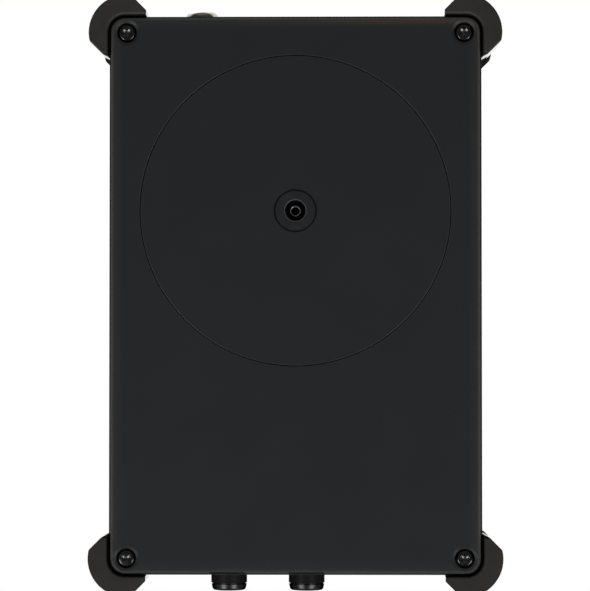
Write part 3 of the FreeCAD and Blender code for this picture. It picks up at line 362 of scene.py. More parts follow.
def coverFinish(half, seat, knobs):
    material, tree, shader, colour = grainedFinish("coverCoat", coverCoat)
    look = coverCoat
    reach, bevel, edge = look["grooveWide"] / 2, look["bevel"], look["edge"]
    toGroove = calc(tree, "SUBTRACT", fromAxis(tree, localPlace(tree, seat)), look["seatR"] - reach)
    toGroove = calc(tree, "ABSOLUTE", toGroove)
    # Painted highlight on the groove's shoulders, and painted shade in the groove itself
    shoulderHighlight = fade(tree, toGroove, reach + bevel, reach + bevel + edge)
    groove = fade(tree, toGroove, reach, reach + edge)
    x, y, z = coordinates(tree, localPlace(tree))
    inside = insideOutline(tree, x, y, half, look["corner"])
    # Painted highlights near the outline: a wide faint band, and a brighter one at the turn of the
    # edge, weaker along the front
    halo = fade(tree, inside, look["haloTo"], look["haloFrom"])
    edgeHighlight = fade(tree, inside, look["edgeHighlightTo"], look["edgeHighlightFrom"])
    front = calc(tree, "LESS_THAN", y, look["corner"] - half[1])
    edgeHighlight = product(tree, edgeHighlight, spread(tree, front, 0.0, 1.0, 1.0, look["frontEdgeHighlight"]))
    # A warm painted highlight along the rear edge, stronger towards -x
    rearHighlight = fade(tree, calc(tree, "SUBTRACT", half[1], y), look["rearHighlightTo"], look["rearHighlightFrom"])
    rearHighlight = product(tree, rearHighlight, fade(tree, x, -look["rearHighlightX"], look["rearHighlightX"]))
    shade = calc(tree, "LESS_THAN", y, look["shadeTo"] - half[1])
    beside = [calc(tree, "ABSOLUTE", calc(tree, "SUBTRACT", x, knob)) for knob in knobs]
    nearKnob = calc(tree, "LESS_THAN", calc(tree, "MINIMUM", *beside), look["knobR"])
    shade = product(tree, shade, nearKnob)
    # The turn of the edge, and the hollows of dimples, holes and the tray's inside, are painted
    # black as shade
    line = product(tree, fade(tree, inside, look["lineTo"], look["lineFrom"]),
                   calc(tree, "LESS_THAN", z, look["lineTop"]))
    sunk = product(tree, calc(tree, "GREATER_THAN", z, look["sunk"]),
                   calc(tree, "GREATER_THAN", inside, look["wall"]))
    for share, name in ((halo, "halo"), (rearHighlight, "rearHighlight"), (edgeHighlight, "edgeHighlight"), (shade, "shade"),
                        (shoulderHighlight, "shoulderHighlight"), (groove, "groove"), (line, "bare"),
                        (sunk, "bare")):
        colour = colourMix(tree, share, colour, look[name])
    feed(tree, shader.inputs["Base Color"], colour)
    roughen(tree, shader, calc(tree, "MAXIMUM", line, groove))
    return material


# Moulded rubber with an eroded texture. Its walls are painted darker as shade, and where the rear
# feet roll inwards under the case a paler painted highlight lies on them. The foot's slanting cuts
# and end walls have a skin that shines only at a grazing look, by how far they turn from the eye.
# Walls are found by the object's own normal. A cut slants back to the case, so that -2 nx ny times
# the sign of x y is 1 on it, and -1 on the outer corner.
bumperRubber = {
    "deep": (0.031, 0.03, 0.0278), "pale": (0.039, 0.0374, 0.0348), "grain": 0.16 * mm,
    "patch": 9 * mm, "depth": 0.01 * mm, "smooth": 0.62, "rough": 0.78, "shine": 0.0,
    "more": {"Coat Roughness": 0.05, "Coat IOR": 1.6},
    "wallShade": (0.015, 0.0148, 0.0142), "rollHighlight": (0.056, 0.0555, 0.053),
    "low": 1.1 * mm, "lowFade": 1.6, "step": 22.1 * mm, "sideTop": 14.0 * mm,
    "sideEnd": 93.2 * mm, "rearEnd": 57.6 * mm,
    "wallSpan": (0.2, 0.5), "slantSpan": (0.7, 0.85), "grazeSpan": (0.55, 0.85),
    "rollSpan": (0.05, 0.3),
}


def rubberFinish():
    material, tree, shader, colour = grainedFinish("bumperRubber", bumperRubber)
    look = bumperRubber
    source = addNode(tree, "TexCoord")
    nx, ny, nz = coordinates(tree, source.outputs["Normal"])
    x, y, z = coordinates(tree, source.outputs["Object"])
    wall = fade(tree, calc(tree, "ABSOLUTE", nz), *look["wallSpan"])
    corner = product(tree, calc(tree, "SIGN", product(tree, x, y)), -2.0)
    slanting = spread(tree, product(tree, nx, ny, corner), *look["slantSpan"])
    sideEnd = calc(tree, "LESS_THAN", calc(tree, "ABSOLUTE", y), look["sideEnd"])
    rearEnd = calc(tree, "LESS_THAN", calc(tree, "ABSOLUTE", x), look["rearEnd"])
    skinTop = spread(tree, sideEnd, 0.0, 1.0, look["step"], look["sideTop"])
    foot = product(tree, spread(tree, z, look["low"], look["low"] * look["lowFade"]),
                   calc(tree, "LESS_THAN", z, skinTop))
    skin = calc(tree, "MAXIMUM", slanting, calc(tree, "MAXIMUM", sideEnd, rearEnd))
    turned = addNode(tree, "LayerWeight").outputs["Facing"]
    skin = product(tree, skin, spread(tree, turned, *look["grazeSpan"]))
    feed(tree, shader.inputs["Coat Weight"], product(tree, wall, foot, skin))
    # A paler painted highlight where the rear feet roll inwards under the case
    rollHighlight = spread(tree, product(tree, ny, -1.0), *look["rollSpan"])
    rear = product(tree, calc(tree, "GREATER_THAN", y, 0.0),
                   calc(tree, "LESS_THAN", z, look["low"]))
    colour = colourMix(tree, product(tree, rollHighlight, rear), colour, look["rollHighlight"])
    # Walls are painted darker as shade
    feed(tree, shader.inputs["Base Color"], colourMix(tree, wall, colour, look["wallShade"]))
    return material


# Finer powder coat on the cast upper case and the two sheet panels
housingCoat = {
    "deep": (0.014, 0.0145, 0.0155), "pale": (0.0175, 0.018, 0.019), "grain": 0.3 * mm,
    "patch": 30 * mm, "depth": 0.01 * mm, "smooth": 0.4, "rough": 0.5, "shine": 0.4,
}
panelCoat = {
    "deep": (0.009, 0.009, 0.0095), "pale": (0.012, 0.012, 0.0125), "grain": 0.22 * mm,
    "patch": 18 * mm, "depth": 0.006 * mm, "smooth": 0.38, "rough": 0.48, "shine": 0.4,
}
blackSteel = {
    "deep": (0.02, 0.02, 0.021), "pale": (0.04, 0.04, 0.041), "grain": 0.25 * mm,
    "patch": 2 * mm, "depth": 0.003 * mm, "smooth": 0.2, "rough": 0.34, "metal": 0.7,
    "shine": 0.6,
}
screwBlack = {
    "deep": (0.003, 0.003, 0.0032), "pale": (0.008, 0.008, 0.0083), "grain": 0.25 * mm,
    "patch": 1 * mm, "depth": 0.008 * mm, "smooth": 0.14, "rough": 0.26, "shine": 1.0,
}
bareSteel = {
    "deep": (0.36, 0.35, 0.34), "pale": (0.5, 0.49, 0.47), "grain": 0.3 * mm,
    "patch": 3 * mm, "depth": 0.003 * mm, "smooth": 0.22, "rough": 0.38, "metal": 1.0,
}
nickel = {
    "deep": (0.47, 0.45, 0.42), "pale": (0.54, 0.52, 0.48), "grain": 0.5 * mm,
    "patch": 4 * mm, "depth": 0.0015 * mm, "smooth": 0.24, "rough": 0.3, "metal": 1.0,
}
brass = {
    "deep": (0.6, 0.42, 0.18), "pale": (0.74, 0.55, 0.26), "grain": 0.4 * mm,
    "patch": 3 * mm, "depth": 0.002 * mm, "smooth": 0.2, "rough": 0.32, "metal": 1.0,
}
chipResin = {
    "deep": (0.012, 0.012, 0.013), "pale": (0.022, 0.022, 0.023), "grain": 0.12 * mm,
    "patch": 4 * mm, "depth": 0.006 * mm, "smooth": 0.5, "rough": 0.65,
}
sinkAnodised = {
    "deep": (0.03, 0.032, 0.036), "pale": (0.055, 0.058, 0.064), "grain": 0.2 * mm,
    "patch": 5 * mm, "depth": 0.005 * mm, "smooth": 0.36, "rough": 0.5, "metal": 0.8,
    "stretch": (0.3, 6, 1),
}
socketNylon = {
    "deep": (0.0105, 0.0105, 0.011), "pale": (0.0165, 0.0165, 0.017), "grain": 0.2 * mm,
    "patch": 7 * mm, "depth": 0.008 * mm, "smooth": 0.36, "rough": 0.52,
}
nutNylon = {
    "deep": (0.009, 0.009, 0.009), "pale": (0.014, 0.014, 0.014), "grain": 0.15 * mm,
    "patch": 3 * mm, "depth": 0.005 * mm, "smooth": 0.28, "rough": 0.4,
}
knobSoftCoat = {
    "deep": (0.0172, 0.0172, 0.0177), "pale": (0.0195, 0.0195, 0.02), "grain": 0.12 * mm,
    "patch": 5 * mm, "depth": 0.003 * mm, "smooth": 0.4, "rough": 0.46, "shine": 0.0,
    "metal": 0.5, "more": {"Specular Tint": (0, 0, 0, 1)},
}
buttonCoat = {
    "deep": (0.017, 0.017, 0.018), "pale": (0.024, 0.024, 0.025), "grain": 0.14 * mm,
    "patch": 6 * mm, "depth": 0.006 * mm, "smooth": 0.46, "rough": 0.58,
}
lightAcrylic = {
    "deep": (0.5, 0.52, 0.52), "pale": (0.62, 0.64, 0.64), "grain": 0.3 * mm,
    "patch": 2 * mm, "depth": 0.002 * mm, "smooth": 0.2, "rough": 0.32,
    "more": {"Transmission Weight": 0.35},
}
whitePrint = {
    "deep": (0.55, 0.55, 0.54), "pale": (0.66, 0.66, 0.65), "grain": 0.12 * mm,
    "patch": 2 * mm, "depth": 0.002 * mm, "smooth": 0.45, "rough": 0.6,
}
screenDark = {
    "deep": (0.004, 0.0045, 0.0055), "pale": (0.008, 0.009, 0.011), "grain": 0.2 * mm,
    "patch": 30 * mm, "depth": 0.001 * mm, "smooth": 0.25, "rough": 0.35,
}

# The knob's end ring is black nickel, whose rim doesn't shine at a glance, and whose flanks,
# which face sideways, are painted darker as shade.
knobGloss = {
    "deep": (0.05, 0.05, 0.051), "pale": (0.06, 0.06, 0.061), "grain": 0.6 * mm,
    "patch": 4 * mm, "depth": 0.001 * mm, "smooth": 0.3, "rough": 0.36, "metal": 1.0,
    "more": {"Specular Tint": (0, 0, 0, 1)},
    "flank": (0.02, 0.02, 0.0205), "flankSpan": (0.5, 0.72),
}


def knobCapFinish():
    material, tree, shader, colour = grainedFinish("knobGloss", knobGloss)
    nx = coordinates(tree, addNode(tree, "TexCoord").outputs["Normal"])[0]
    # The sideways facing flanks are painted darker as shade
    flank = spread(tree, calc(tree, "ABSOLUTE", nx), *knobGloss["flankSpan"])
    feed(tree, shader.inputs["Base Color"], colourMix(tree, flank, colour, knobGloss["flank"]))
    return material


# Turned metal: rings about an axis cut fine grooves, over slow patches round the piece. The
# rings follow the radius plus a share of the height, so that they show on walls as well.
turnedMix = {"height": 0.83, "line": 0.6, "slow": 0.4}
dialAnodised = {
    "deep": (0.05, 0.051, 0.054), "pale": (0.075, 0.077, 0.08), "metal": 0.9,
    "ring": 0.22 * mm, "patch": 8 * mm, "depth": 0.004 * mm, "smooth": 0.26, "rough": 0.34,
}
dialCapSpun = {
    "deep": (0.1, 0.102, 0.106), "pale": (0.17, 0.172, 0.178), "metal": 1.0,
    "ring": 0.16 * mm, "patch": 40 * mm, "depth": 0.005 * mm, "smooth": 0.24, "rough": 0.32,
}
# The bush's well is painted shade, black inside its bore, and its rim a painted highlight round the
# bore's edge
bushTurned = {
    "deep": (0.0155, 0.017, 0.0176), "pale": (0.019, 0.0206, 0.0212), "metal": 0.0,
    "ring": 0.2 * mm, "patch": 5 * mm, "depth": 0.003 * mm, "smooth": 0.4, "rough": 0.5,
    "shine": 0.2, "well": (0.0008, 0.0008, 0.0008), "wellR": 4.02 * mm, "wellMatte": True,
    "rim": (0.1, 0.1, 0.1), "rimR": 4.3 * mm,
}
# The sleeve's well is a painted highlight on its bore and lip, and its rim painted shade on the end
# face round them
insertTurned = {
    "deep": (0.22, 0.22, 0.22), "pale": (0.36, 0.36, 0.355), "metal": 1.0,
    "ring": 0.15 * mm, "patch": 3 * mm, "depth": 0.003 * mm, "smooth": 0.34, "rough": 0.42,
    "well": (0.5, 0.5, 0.49), "wellR": 2.05 * mm,
    "rim": (0.0018, 0.0018, 0.0018), "rimR": 3.2 * mm,
}
zoneEdge = 0.03 * mm


def turnedFinish(name, look, centre, turn=(0, 0, 0)):
    constants = {"Metallic": look["metal"], "Specular IOR Level": look.get("shine", 0.5)}
    material, tree, shader = newFinish(name, constants)
    place = localPlace(tree, centre, turn)
    radius = fromAxis(tree, place)
    height = product(tree, coordinates(tree, place)[2], turnedMix["height"])
    line = rings(tree, calc(tree, "ADD", radius, height), look["ring"])
    slow = grain(tree, place, look["patch"])
    both = calc(tree, "ADD", product(tree, line, turnedMix["line"]),
                product(tree, slow, turnedMix["slow"]))
    colour = colourMix(tree, spread(tree, both, *noiseSpan), look["deep"], look["pale"])
    rough = spread(tree, slow, *noiseSpan, look["smooth"], look["rough"])
    linkSurface(tree, shader, colour, rough, line, look["depth"])
    return material, tree, shader, colour


# Turned steel in two zones of painted light and shade: inside a radius one colour, and from there
# to a second radius another. On the bush the bore is painted black as shade and a painted highlight
# rings its mouth; on the sleeve the bore and lip carry a painted highlight and the end face round
# them is painted black as shade.
def zonedFinish(name, look, centre):
    material, tree, shader, colour = turnedFinish(name, look, centre)
    radius = fromAxis(tree, localPlace(tree, centre))
    inRim = fade(tree, radius, look["rimR"], look["rimR"] + zoneEdge)
    inWell = fade(tree, radius, look["wellR"], look["wellR"] + zoneEdge)
    colour = colourMix(tree, inRim, colour, look["rim"])
    feed(tree, shader.inputs["Base Color"], colourMix(tree, inWell, colour, look["well"]))
    if look.get("wellMatte"):
        roughen(tree, shader, inWell)
    return material


# Circuit board: solder mask over straight tracks, with tinned pads on a fine lattice
boardLook = {
    "mask": (0.006, 0.035, 0.018), "track": (0.012, 0.065, 0.032), "tin": (0.5, 0.5, 0.48),
    "cell": 9 * mm, "trackStep": 1.6 * mm, "trackSpan": (0.1, 0.3), "padStep": 5.08 * mm,
    "padR": 0.6 * mm, "padFade": 1.15, "padHigh": 0.7, "depth": 0.03 * mm,
    "patch": 3 * mm, "smooth": 0.28, "rough": 0.4,
}


def boardFinish():
    look = boardLook
    material, tree, shader = newFinish("boardMask", {"Specular IOR Level": 0.5})
    place = localPlace(tree)
    cells = addNode(tree, "TexVoronoi", distance="CHEBYCHEV")
    feed(tree, cells.inputs["Vector"], place)
    cells.inputs["Scale"].default_value = 1 / look["cell"]
    x, y = coordinates(tree, place)[:2]
    # In each cell the tracks run along x or along y, as the cell's own colour chooses
    choice = calc(tree, "GREATER_THAN", coordinates(tree, cells.outputs["Color"])[0], 0.5)
    wave = waves(tree, numberMix(tree, choice, x, y), look["trackStep"])
    track = spread(tree, wave, *look["trackSpan"])
    fromPad = [calc(tree, "PINGPONG", value, look["padStep"] / 2) for value in (x, y)]
    pad = fade(tree, hypotenuse(tree, *fromPad), look["padR"], look["padR"] * look["padFade"])
    colour = colourMix(tree, track, look["mask"], look["track"])
    colour = colourMix(tree, pad, colour, look["tin"])
    slow = grain(tree, place, look["patch"])
    rough = spread(tree, slow, *noiseSpan, look["smooth"], look["rough"])
    height = calc(tree, "ADD", track, product(tree, pad, look["padHigh"]))
    linkSurface(tree, shader, colour, rough, height, look["depth"])
    feed(tree, shader.inputs["Metallic"], pad)
    return material


# Capacitor cans: a printed sleeve up the side, and a bare lid above the given height
canLook = {
    "deep": (0.012, 0.014, 0.02), "pale": (0.02, 0.023, 0.03), "lid": (0.62, 0.62, 0.62),
    "lidSpan": (0.5 * mm, 0.4 * mm), "grain": 0.25 * mm, "depth": 0.003 * mm,
    "smooth": 0.26, "rough": 0.4,
}


def canFinish(lidZ):
    look = canLook
    material, tree, shader = newFinish("canSleeve", {"Specular IOR Level": 0.5})
    place = localPlace(tree)
    lid = spread(tree, coordinates(tree, place)[2], *[lidZ - step for step in look["lidSpan"]])
    fine = grain(tree, place, look["grain"])
    colour = colourMix(tree, lid, colourMix(tree, fine, look["deep"], look["pale"]), look["lid"])
    rough = spread(tree, fine, *noiseSpan, look["smooth"], look["rough"])
    linkSurface(tree, shader, colour, rough, fine, look["depth"])
    feed(tree, shader.inputs["Metallic"], lid)
    return material


# Ribbon cable: grey wires side by side with painted shade in the grooves between them, and a marked
# first wire, between two ivory plugs
ribbonLook = {
    "wire": (0.3, 0.31, 0.32), "groove": (0.12, 0.12, 0.13), "first": (0.4, 0.03, 0.03),
    "plug": (0.42, 0.4, 0.34), "plugDeep": 4 * mm, "pitch": 1.27 * mm, "wireSpan": (-0.9, -0.3),
    "margin": 2 * mm, "patch": 1 * mm, "smooth": 0.42, "rough": 0.55, "depth": 0.08 * mm,
    "shine": 0.4,
}


def ribbonFinish(low, high):
    look = ribbonLook
    material, tree, shader = newFinish("ribbonWires", {"Specular IOR Level": look["shine"]})
    place = localPlace(tree)
    axes = coordinates(tree, place)
    x, z = axes[0], axes[2]
    wave = waves(tree, x, look["pitch"])
    # The grooves between the wires are painted shade
    colour = colourMix(tree, spread(tree, wave, *look["wireSpan"]), look["groove"], look["wire"])
    firstWire = calc(tree, "LESS_THAN", x, low[0] + look["margin"] + look["pitch"])
    colour = colourMix(tree, firstWire, colour, look["first"])
    plug = calc(tree, "MAXIMUM", calc(tree, "LESS_THAN", z, low[2] + look["plugDeep"]),
                calc(tree, "GREATER_THAN", z, high[2] - look["plugDeep"]))
    colour = colourMix(tree, plug, colour, look["plug"])
    slow = grain(tree, place, look["patch"])
    rough = spread(tree, slow, *noiseSpan, look["smooth"], look["rough"])
    height = product(tree, wave, calc(tree, "SUBTRACT", 1.0, plug))
    linkSurface(tree, shader, colour, rough, height, look["depth"])
    return material


# Black glass with the border printed on its back; the window over the screen is a shade paler
glassLook = {
    "border": (0.0022, 0.0022, 0.0024), "window": (0.0055, 0.006, 0.0068), "margin": 6.5 * mm,
    "edge": 0.12 * mm, "smear": 14 * mm, "smearSpan": (0.35, 0.75), "smooth": 0.03, "rough": 0.09,
    "index": 1.52,
}


def glassFinish(centre, turn, half):
    look = glassLook
    constants = {"Specular IOR Level": 0.5, "IOR": look["index"], "Coat Weight": 0.0}
    material, tree, shader = newFinish("blackGlass", constants)
    place = localPlace(tree, centre, turn)
    gaps = []
    for value, reach in zip(coordinates(tree, place)[:2], half):
        inner = reach - look["margin"]
        gaps.append(fade(tree, calc(tree, "ABSOLUTE", value), inner, inner + look["edge"]))
    colour = colourMix(tree, product(tree, *gaps), look["border"], look["window"])
    feed(tree, shader.inputs["Base Color"], colour)
    smear = spread(tree, grain(tree, place, look["smear"]), *look["smearSpan"],
                   look["smooth"], look["rough"])
    feed(tree, shader.inputs["Roughness"], smear)
    return material


def dress(material, *nodeNames):
    for name in nodeNames:
        for holder in frame["nodes"][name].material_slots:
            holder.material = material


# Start

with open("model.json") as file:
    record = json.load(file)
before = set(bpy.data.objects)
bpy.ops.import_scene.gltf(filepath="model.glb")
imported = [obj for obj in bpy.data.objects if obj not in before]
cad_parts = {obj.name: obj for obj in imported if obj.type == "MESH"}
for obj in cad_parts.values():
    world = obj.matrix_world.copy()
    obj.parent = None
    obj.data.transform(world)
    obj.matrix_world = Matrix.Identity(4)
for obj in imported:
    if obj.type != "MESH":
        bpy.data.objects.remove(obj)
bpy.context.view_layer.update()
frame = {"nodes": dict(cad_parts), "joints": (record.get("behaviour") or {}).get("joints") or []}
print("frame loaded", len(frame["nodes"]), "nodes")
joints = {joint["name"]: joint for joint in frame["joints"]}
topAxis = joints["dial_turn"]["axis"]
slope = math.atan2(-topAxis[1], topAxis[2])


def nodeMiddle(name):
    low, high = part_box(name)
    return (low + high) / 2


# The vertices of a CAD node as (distance from an axis, height along it).
def turnedSizes(name, centre, axis):
    mesh = frame["nodes"][name].data
    points = np.zeros(len(mesh.vertices) * 3)
    mesh.vertices.foreach_get("co", points)
    steps = points.reshape(-1, 3) - np.asarray(centre, float)
    heights = steps @ unit(axis)
    radii = np.linalg.norm(steps - heights[:, None] * unit(axis), axis=1)
    return radii, heights


# Links an object to the scene and stands it at a place, looking at a target, with its own y as
# near to upwards as it goes.
def aim(thing, place, target, upwards=(0, 1, 0)):
    bpy.context.scene.collection.objects.link(thing)
    forward = (Vector(target) - Vector(place)).normalized()
    right = forward.cross(Vector(upwards)).normalized()
    turn = Matrix((right, right.cross(forward), -forward)).transposed()
    thing.matrix_world = Matrix.Translation(place) @ turn.to_4x4()


# Camera

photoCamera = {
    "place": (-0.017, -0.0296, -1.048), "target": (0.00012, -0.00026, 0.002), "lens": 166.45,
    "sensor": 36, "near": 0.01, "far": 100, "shift": (0.0, 0.0),
}


def makeCamera():
    data = bpy.data.cameras.new("photoCamera")
    data.lens = photoCamera["lens"]
    data.sensor_width = photoCamera["sensor"]
    data.shift_x, data.shift_y = photoCamera["shift"]
    data.clip_start, data.clip_end = photoCamera["near"], photoCamera["far"]
    camera = bpy.data.objects.new("photoCamera", data)
    aim(camera, photoCamera["place"], photoCamera["target"])
    bpy.context.scene.camera = camera


# Studio: a white background for the camera, one strength for mirrored and bent rays above and
# another below, and a weak one for all other light

studioWorld = {"seen": 1.0, "above": 1.15, "below": 0.05, "ambient": 0.28, "horizon": 0.04}


def makeWorld():
    look = studioWorld
    world = bpy.data.worlds.new("studioWorld")
    bpy.context.scene.world = world
    world.use_nodes = True
    tree = world.node_tree
    tree.nodes.clear()
    height = coordinates(tree, addNode(tree, "TexCoord").outputs["Generated"])[2]
    rays = addNode(tree, "LightPath").outputs
    mirrored = spread(tree, height, -look["horizon"], look["horizon"], look["below"], look["above"])
    bent = calc(tree, "MAXIMUM", rays["Is Glossy Ray"], rays["Is Transmission Ray"])
    strength = numberMix(tree, bent, look["ambient"], mirrored)
    background = addNode(tree, "Background")
    background.inputs["Color"].default_value = (1, 1, 1, 1)
    feed(tree, background.inputs["Strength"],
         numberMix(tree, rays["Is Camera Ray"], strength, look["seen"]))
    out = addNode(tree, "OutputWorld")
    tree.links.new(background.outputs[0], out.inputs["Surface"])


# Softboxes below light the underside through the floor; those above light the other sides.
softboxes = {
    "lowLeft": {"place": (1.1, -0.85, -1.45), "size": (0.75, 0.75), "power": 14.8},
    "lowRight": {"place": (-1.1, -0.85, -1.45), "size": (0.75, 0.75), "power": 13.2},
    "lowRear": {"place": (0.0, 1.5, -1.3), "size": (2.4, 1.0), "power": 1.6,
                "tint": (1.0, 0.86, 0.7)},
    "highKey": {"place": (-0.9, -1.0, 1.3), "size": (0.9, 0.9), "power": 14.0},
    "highFill": {"place": (1.3, -0.5, 0.9), "size": (0.8, 1.0), "power": 7.0},
    "highBack": {"place": (0.4, 1.3, 1.1), "size": (1.2, 0.7), "power": 8.0},
}


def makeSoftbox(name, box):
    data = bpy.data.lights.new(name, "AREA")
    data.shape = "RECTANGLE"
    data.size, data.size_y = box["size"]
    data.energy = box["power"]
    data.color = box.get("tint", (1, 1, 1))
    lamp = bpy.data.objects.new(name, data)
    aim(lamp, box["place"], (0, 0, 0))
    lamp.visible_camera = False


# Pale floor that only the camera sees, and only from above. Its far part glows evenly, so that no
# edge shows.
floorLook = {
    "half": 12.0, "height": -0.0002, "paint": 0.72, "glow": 0.42, "farGlow": 1.0,
    "nearR": 0.25, "farR": 1.1,
}


def emission(tree, strength):
    node = addNode(tree, "Emission")
    node.inputs["Strength"].default_value = strength
    return node.outputs[0]


def shaderMix(tree, share, first, second):
    node = addNode(tree, "MixShader")
    for socket, value in zip(node.inputs[:3], (share, first, second)):
        feed(tree, socket, value)
    return node.outputs[0]


def makeFloor():
    look = floorLook
    half, height = look["half"], look["height"]
    corners = [(-half, -half, height), (half, -half, height),
               (half, half, height), (-half, half, height)]
    mesh = bpy.data.meshes.new("floor")
    mesh.from_pydata(corners, [], [(0, 1, 2, 3)])
    floor = bpy.data.objects.new("floor", mesh)
    bpy.context.scene.collection.objects.link(floor)
    material = bpy.data.materials.new("floorPaint")
    material.use_nodes = True
    tree = material.node_tree
    tree.nodes.clear()
    paint = addNode(tree, "BsdfDiffuse")
    paint.inputs["Color"].default_value = (look["paint"],) * 3 + (1,)
    near = addNode(tree, "AddShader")
    feed(tree, near.inputs[0], paint.outputs[0])
    feed(tree, near.inputs[1], emission(tree, look["glow"]))
    far = spread(tree, fromAxis(tree, localPlace(tree)), look["nearR"], look["farR"])
    top = shaderMix(tree, far, near.outputs[0], emission(tree, look["farGlow"]))
    clear = addNode(tree, "BsdfTransparent").outputs[0]
    backfacing = addNode(tree, "NewGeometry").outputs["Backfacing"]
    out = addNode(tree, "OutputMaterial")
    feed(tree, out.inputs["Surface"], shaderMix(tree, backfacing, top, clear))
    mesh.materials.append(material)
    for ray in ("diffuse", "glossy", "transmission", "volume_scatter", "shadow"):
        setattr(floor, "visible_" + ray, False)


# Dial: a turned ring with straight knurling round its grip

dialShape = {
    "ridges": 96, "perRidge": 8, "ridgeDepth": 0.32 * mm, "ridgePower": 1.5,
    "bandLow": 1.6 * mm, "bandHigh": 13.2 * mm, "bandFade": 0.5 * mm, "gripPlay": 0.05 * mm,
    "wall": 1.8 * mm, "foot": 0.4 * mm, "chamfer": 1.6 * mm, "capPlay": 0.1 * mm,
    "lip": 0.6 * mm, "seat": 1.8 * mm, "hub": 3.01 * mm, "hubWall": 8.5 * mm,
    "hubLow": 5.6 * mm, "roof": 4.0 * mm, "rounding": 0.35 * mm, "roundSteps": 4,
    "step": 0.9 * mm,
}


def makeDial(material):
    centre = joints["dial_turn"]["pos_m"]
    radii, heights = turnedSizes("dial", centre, topAxis)
    outer, foot, top = radii.max(), heights.min(), heights.max()
    s = dialShape
    cap = turnedSizes("dial_cap", centre, topAxis)[0].max() + s["capPlay"]
    inner = outer - s["wall"]
    corners = [
        (inner, foot), (outer - s["foot"], foot), (outer, foot + s["foot"]),
        (outer, top - s["chamfer"]), (outer - s["chamfer"], top), (cap + s["lip"], top),
        (cap, top - s["lip"]), (cap, top - s["seat"]), (s["hub"], top - s["seat"]),
        (s["hub"], foot + s["hubLow"]), (s["hubWall"], foot + s["hubLow"]),
        (s["hubWall"], top - s["roof"]), (inner, top - s["roof"]),
    ]
    outline = filledOutline(roundedOutline(corners, s["rounding"], s["roundSteps"]), s["step"])
    around = fullTurn(s["ridges"] * s["perRidge"])
    # The grip's radius drops by ridgeDepth times a power of the squared sine of half the ridges'
    # angle, inside the band and faded out at its ends
    rise = outline[:, 1] - foot
    inBand = np.clip((rise - s["bandLow"]) / s["bandFade"], 0, 1)
    inBand = inBand * np.clip((s["bandHigh"] - rise) / s["bandFade"], 0, 1)
    onGrip = (outline[:, 0] > outer - s["gripPlay"]) * inBand
    valley = (np.sin(around * s["ridges"] / 2) ** 2) ** s["ridgePower"]
    radius = allRound(outline[:, 0], around) - onGrip[:, None] * valley * s["ridgeDepth"]
    points = roundAxis(radius, allRound(outline[:, 1], around), around)
    points = alongAxis(points, centre, topAxis, (1, 0, 0))
    buildPiece("dial_grip", [(points, True, True)], "dial", material, ["dial"])


# Screws: a domed head with a cross recess whose flanks taper, over a shank with a real thread

caseScrew = {
    "head": 3.0 * mm, "rise": 1.9 * mm, "dome": 0.08 * mm, "rim": 0.5 * mm,
    "shank": 1.475 * mm, "threadDepth": 0.26 * mm, "pitch": 0.5 * mm, "threadFrom": 0.15 * mm,
    "recess": 1.45 * mm, "armWidth": 0.24 * mm, "flank": 0.1 * mm, "recessDepth": 0.8 * mm,
    "recessFall": 0.45, "bowl": 1.75 * mm, "bowlCurve": 3.0 * mm, "tip": 0.6 * mm, "tipR": 0.6,
    "columns": 96, "faceRows": 40, "rimRows": 6, "perPitch": 4,
}
socketScrew = dict(
    caseScrew, head=2.1 * mm, rise=1.5 * mm, dome=0.4 * mm, rim=0.4 * mm, shank=1.25 * mm,
    threadDepth=0.2 * mm, pitch=0.45 * mm, recess=1.15 * mm, armWidth=0.3 * mm,
    flank=0.12 * mm, bowl=1.2 * mm, columns=48,
)
socketCount = 4


# How far the cross recess sinks at a place on the head: along each arm it falls off from the
# middle to the arm's end, and across the arm it is full inside the width and gone a flank
# further out.
def crossSink(x, y, s):
    sink = np.zeros_like(x)
    for along, across in ((x, y), (y, x)):
        lengthways = np.clip(1 - np.abs(along) / s["recess"], 0, 1) ** s["recessFall"]
        sideways = np.clip((s["armWidth"] - np.abs(across)) / s["flank"] + 1, 0, 1)
        sink = np.maximum(sink, lengthways * sideways)
    return sink * s["recessDepth"]


# One screw about local z, its head's underside at 0, head to -rise and shank up to the length.
def screwPoints(s, length):
    around = fullTurn(s["columns"])
    flatR = s["head"] - s["rim"]
    top = allRound(flatR * np.linspace(0, 1, s["faceRows"]), around)
    # Outside the bowl the face drops with the radius squared, inside it lies on a hollow ball
    bowlR = s["bowl"]
    drop = s["dome"] * np.maximum(top ** 2 - bowlR ** 2, 0) / (flatR ** 2 - bowlR ** 2)
    inBowl = np.minimum(top, bowlR)
    edgeZ = math.sqrt(s["bowlCurve"] ** 2 - bowlR ** 2)
    hollow = np.sqrt(s["bowlCurve"] ** 2 - inBowl ** 2) - edgeZ
    cross = crossSink(top * np.cos(around), top * np.sin(around), s)
    faceZ = -s["rise"] + drop + np.maximum(hollow, cross)
    turn = np.linspace(0, math.pi / 2, s["rimRows"])[1:]
    rimR = flatR + s["rim"] * np.sin(turn)
    rimZ = -s["rise"] + s["dome"] + s["rim"] * (1 - np.cos(turn))
    # The thread's radius drops along a triangle wave of height over pitch less the share of a turn
    z = np.arange(s["threadFrom"], length - s["tip"], s["pitch"] / s["perPitch"])[:, None]
    phase = (z / s["pitch"] - around / (2 * math.pi)) % 1
    threadR = s["shank"] - s["threadDepth"] * np.abs(2 * phase - 1)
    tipR = [s["shank"] - s["threadDepth"], s["shank"] * s["tipR"], 0]
    tipZ = [length - 0.5 * s["tip"], length, length]
    radius = [top, allRound(rimR, around), allRound([s["head"], s["shank"]], around), threadR,
              allRound(tipR, around)]
    height = [faceZ, allRound(rimZ, around), allRound([0.0, 0.0], around), allRound(z, around),
              allRound(tipZ, around)]
    return roundAxis(np.concatenate(radius), np.concatenate(height), around)


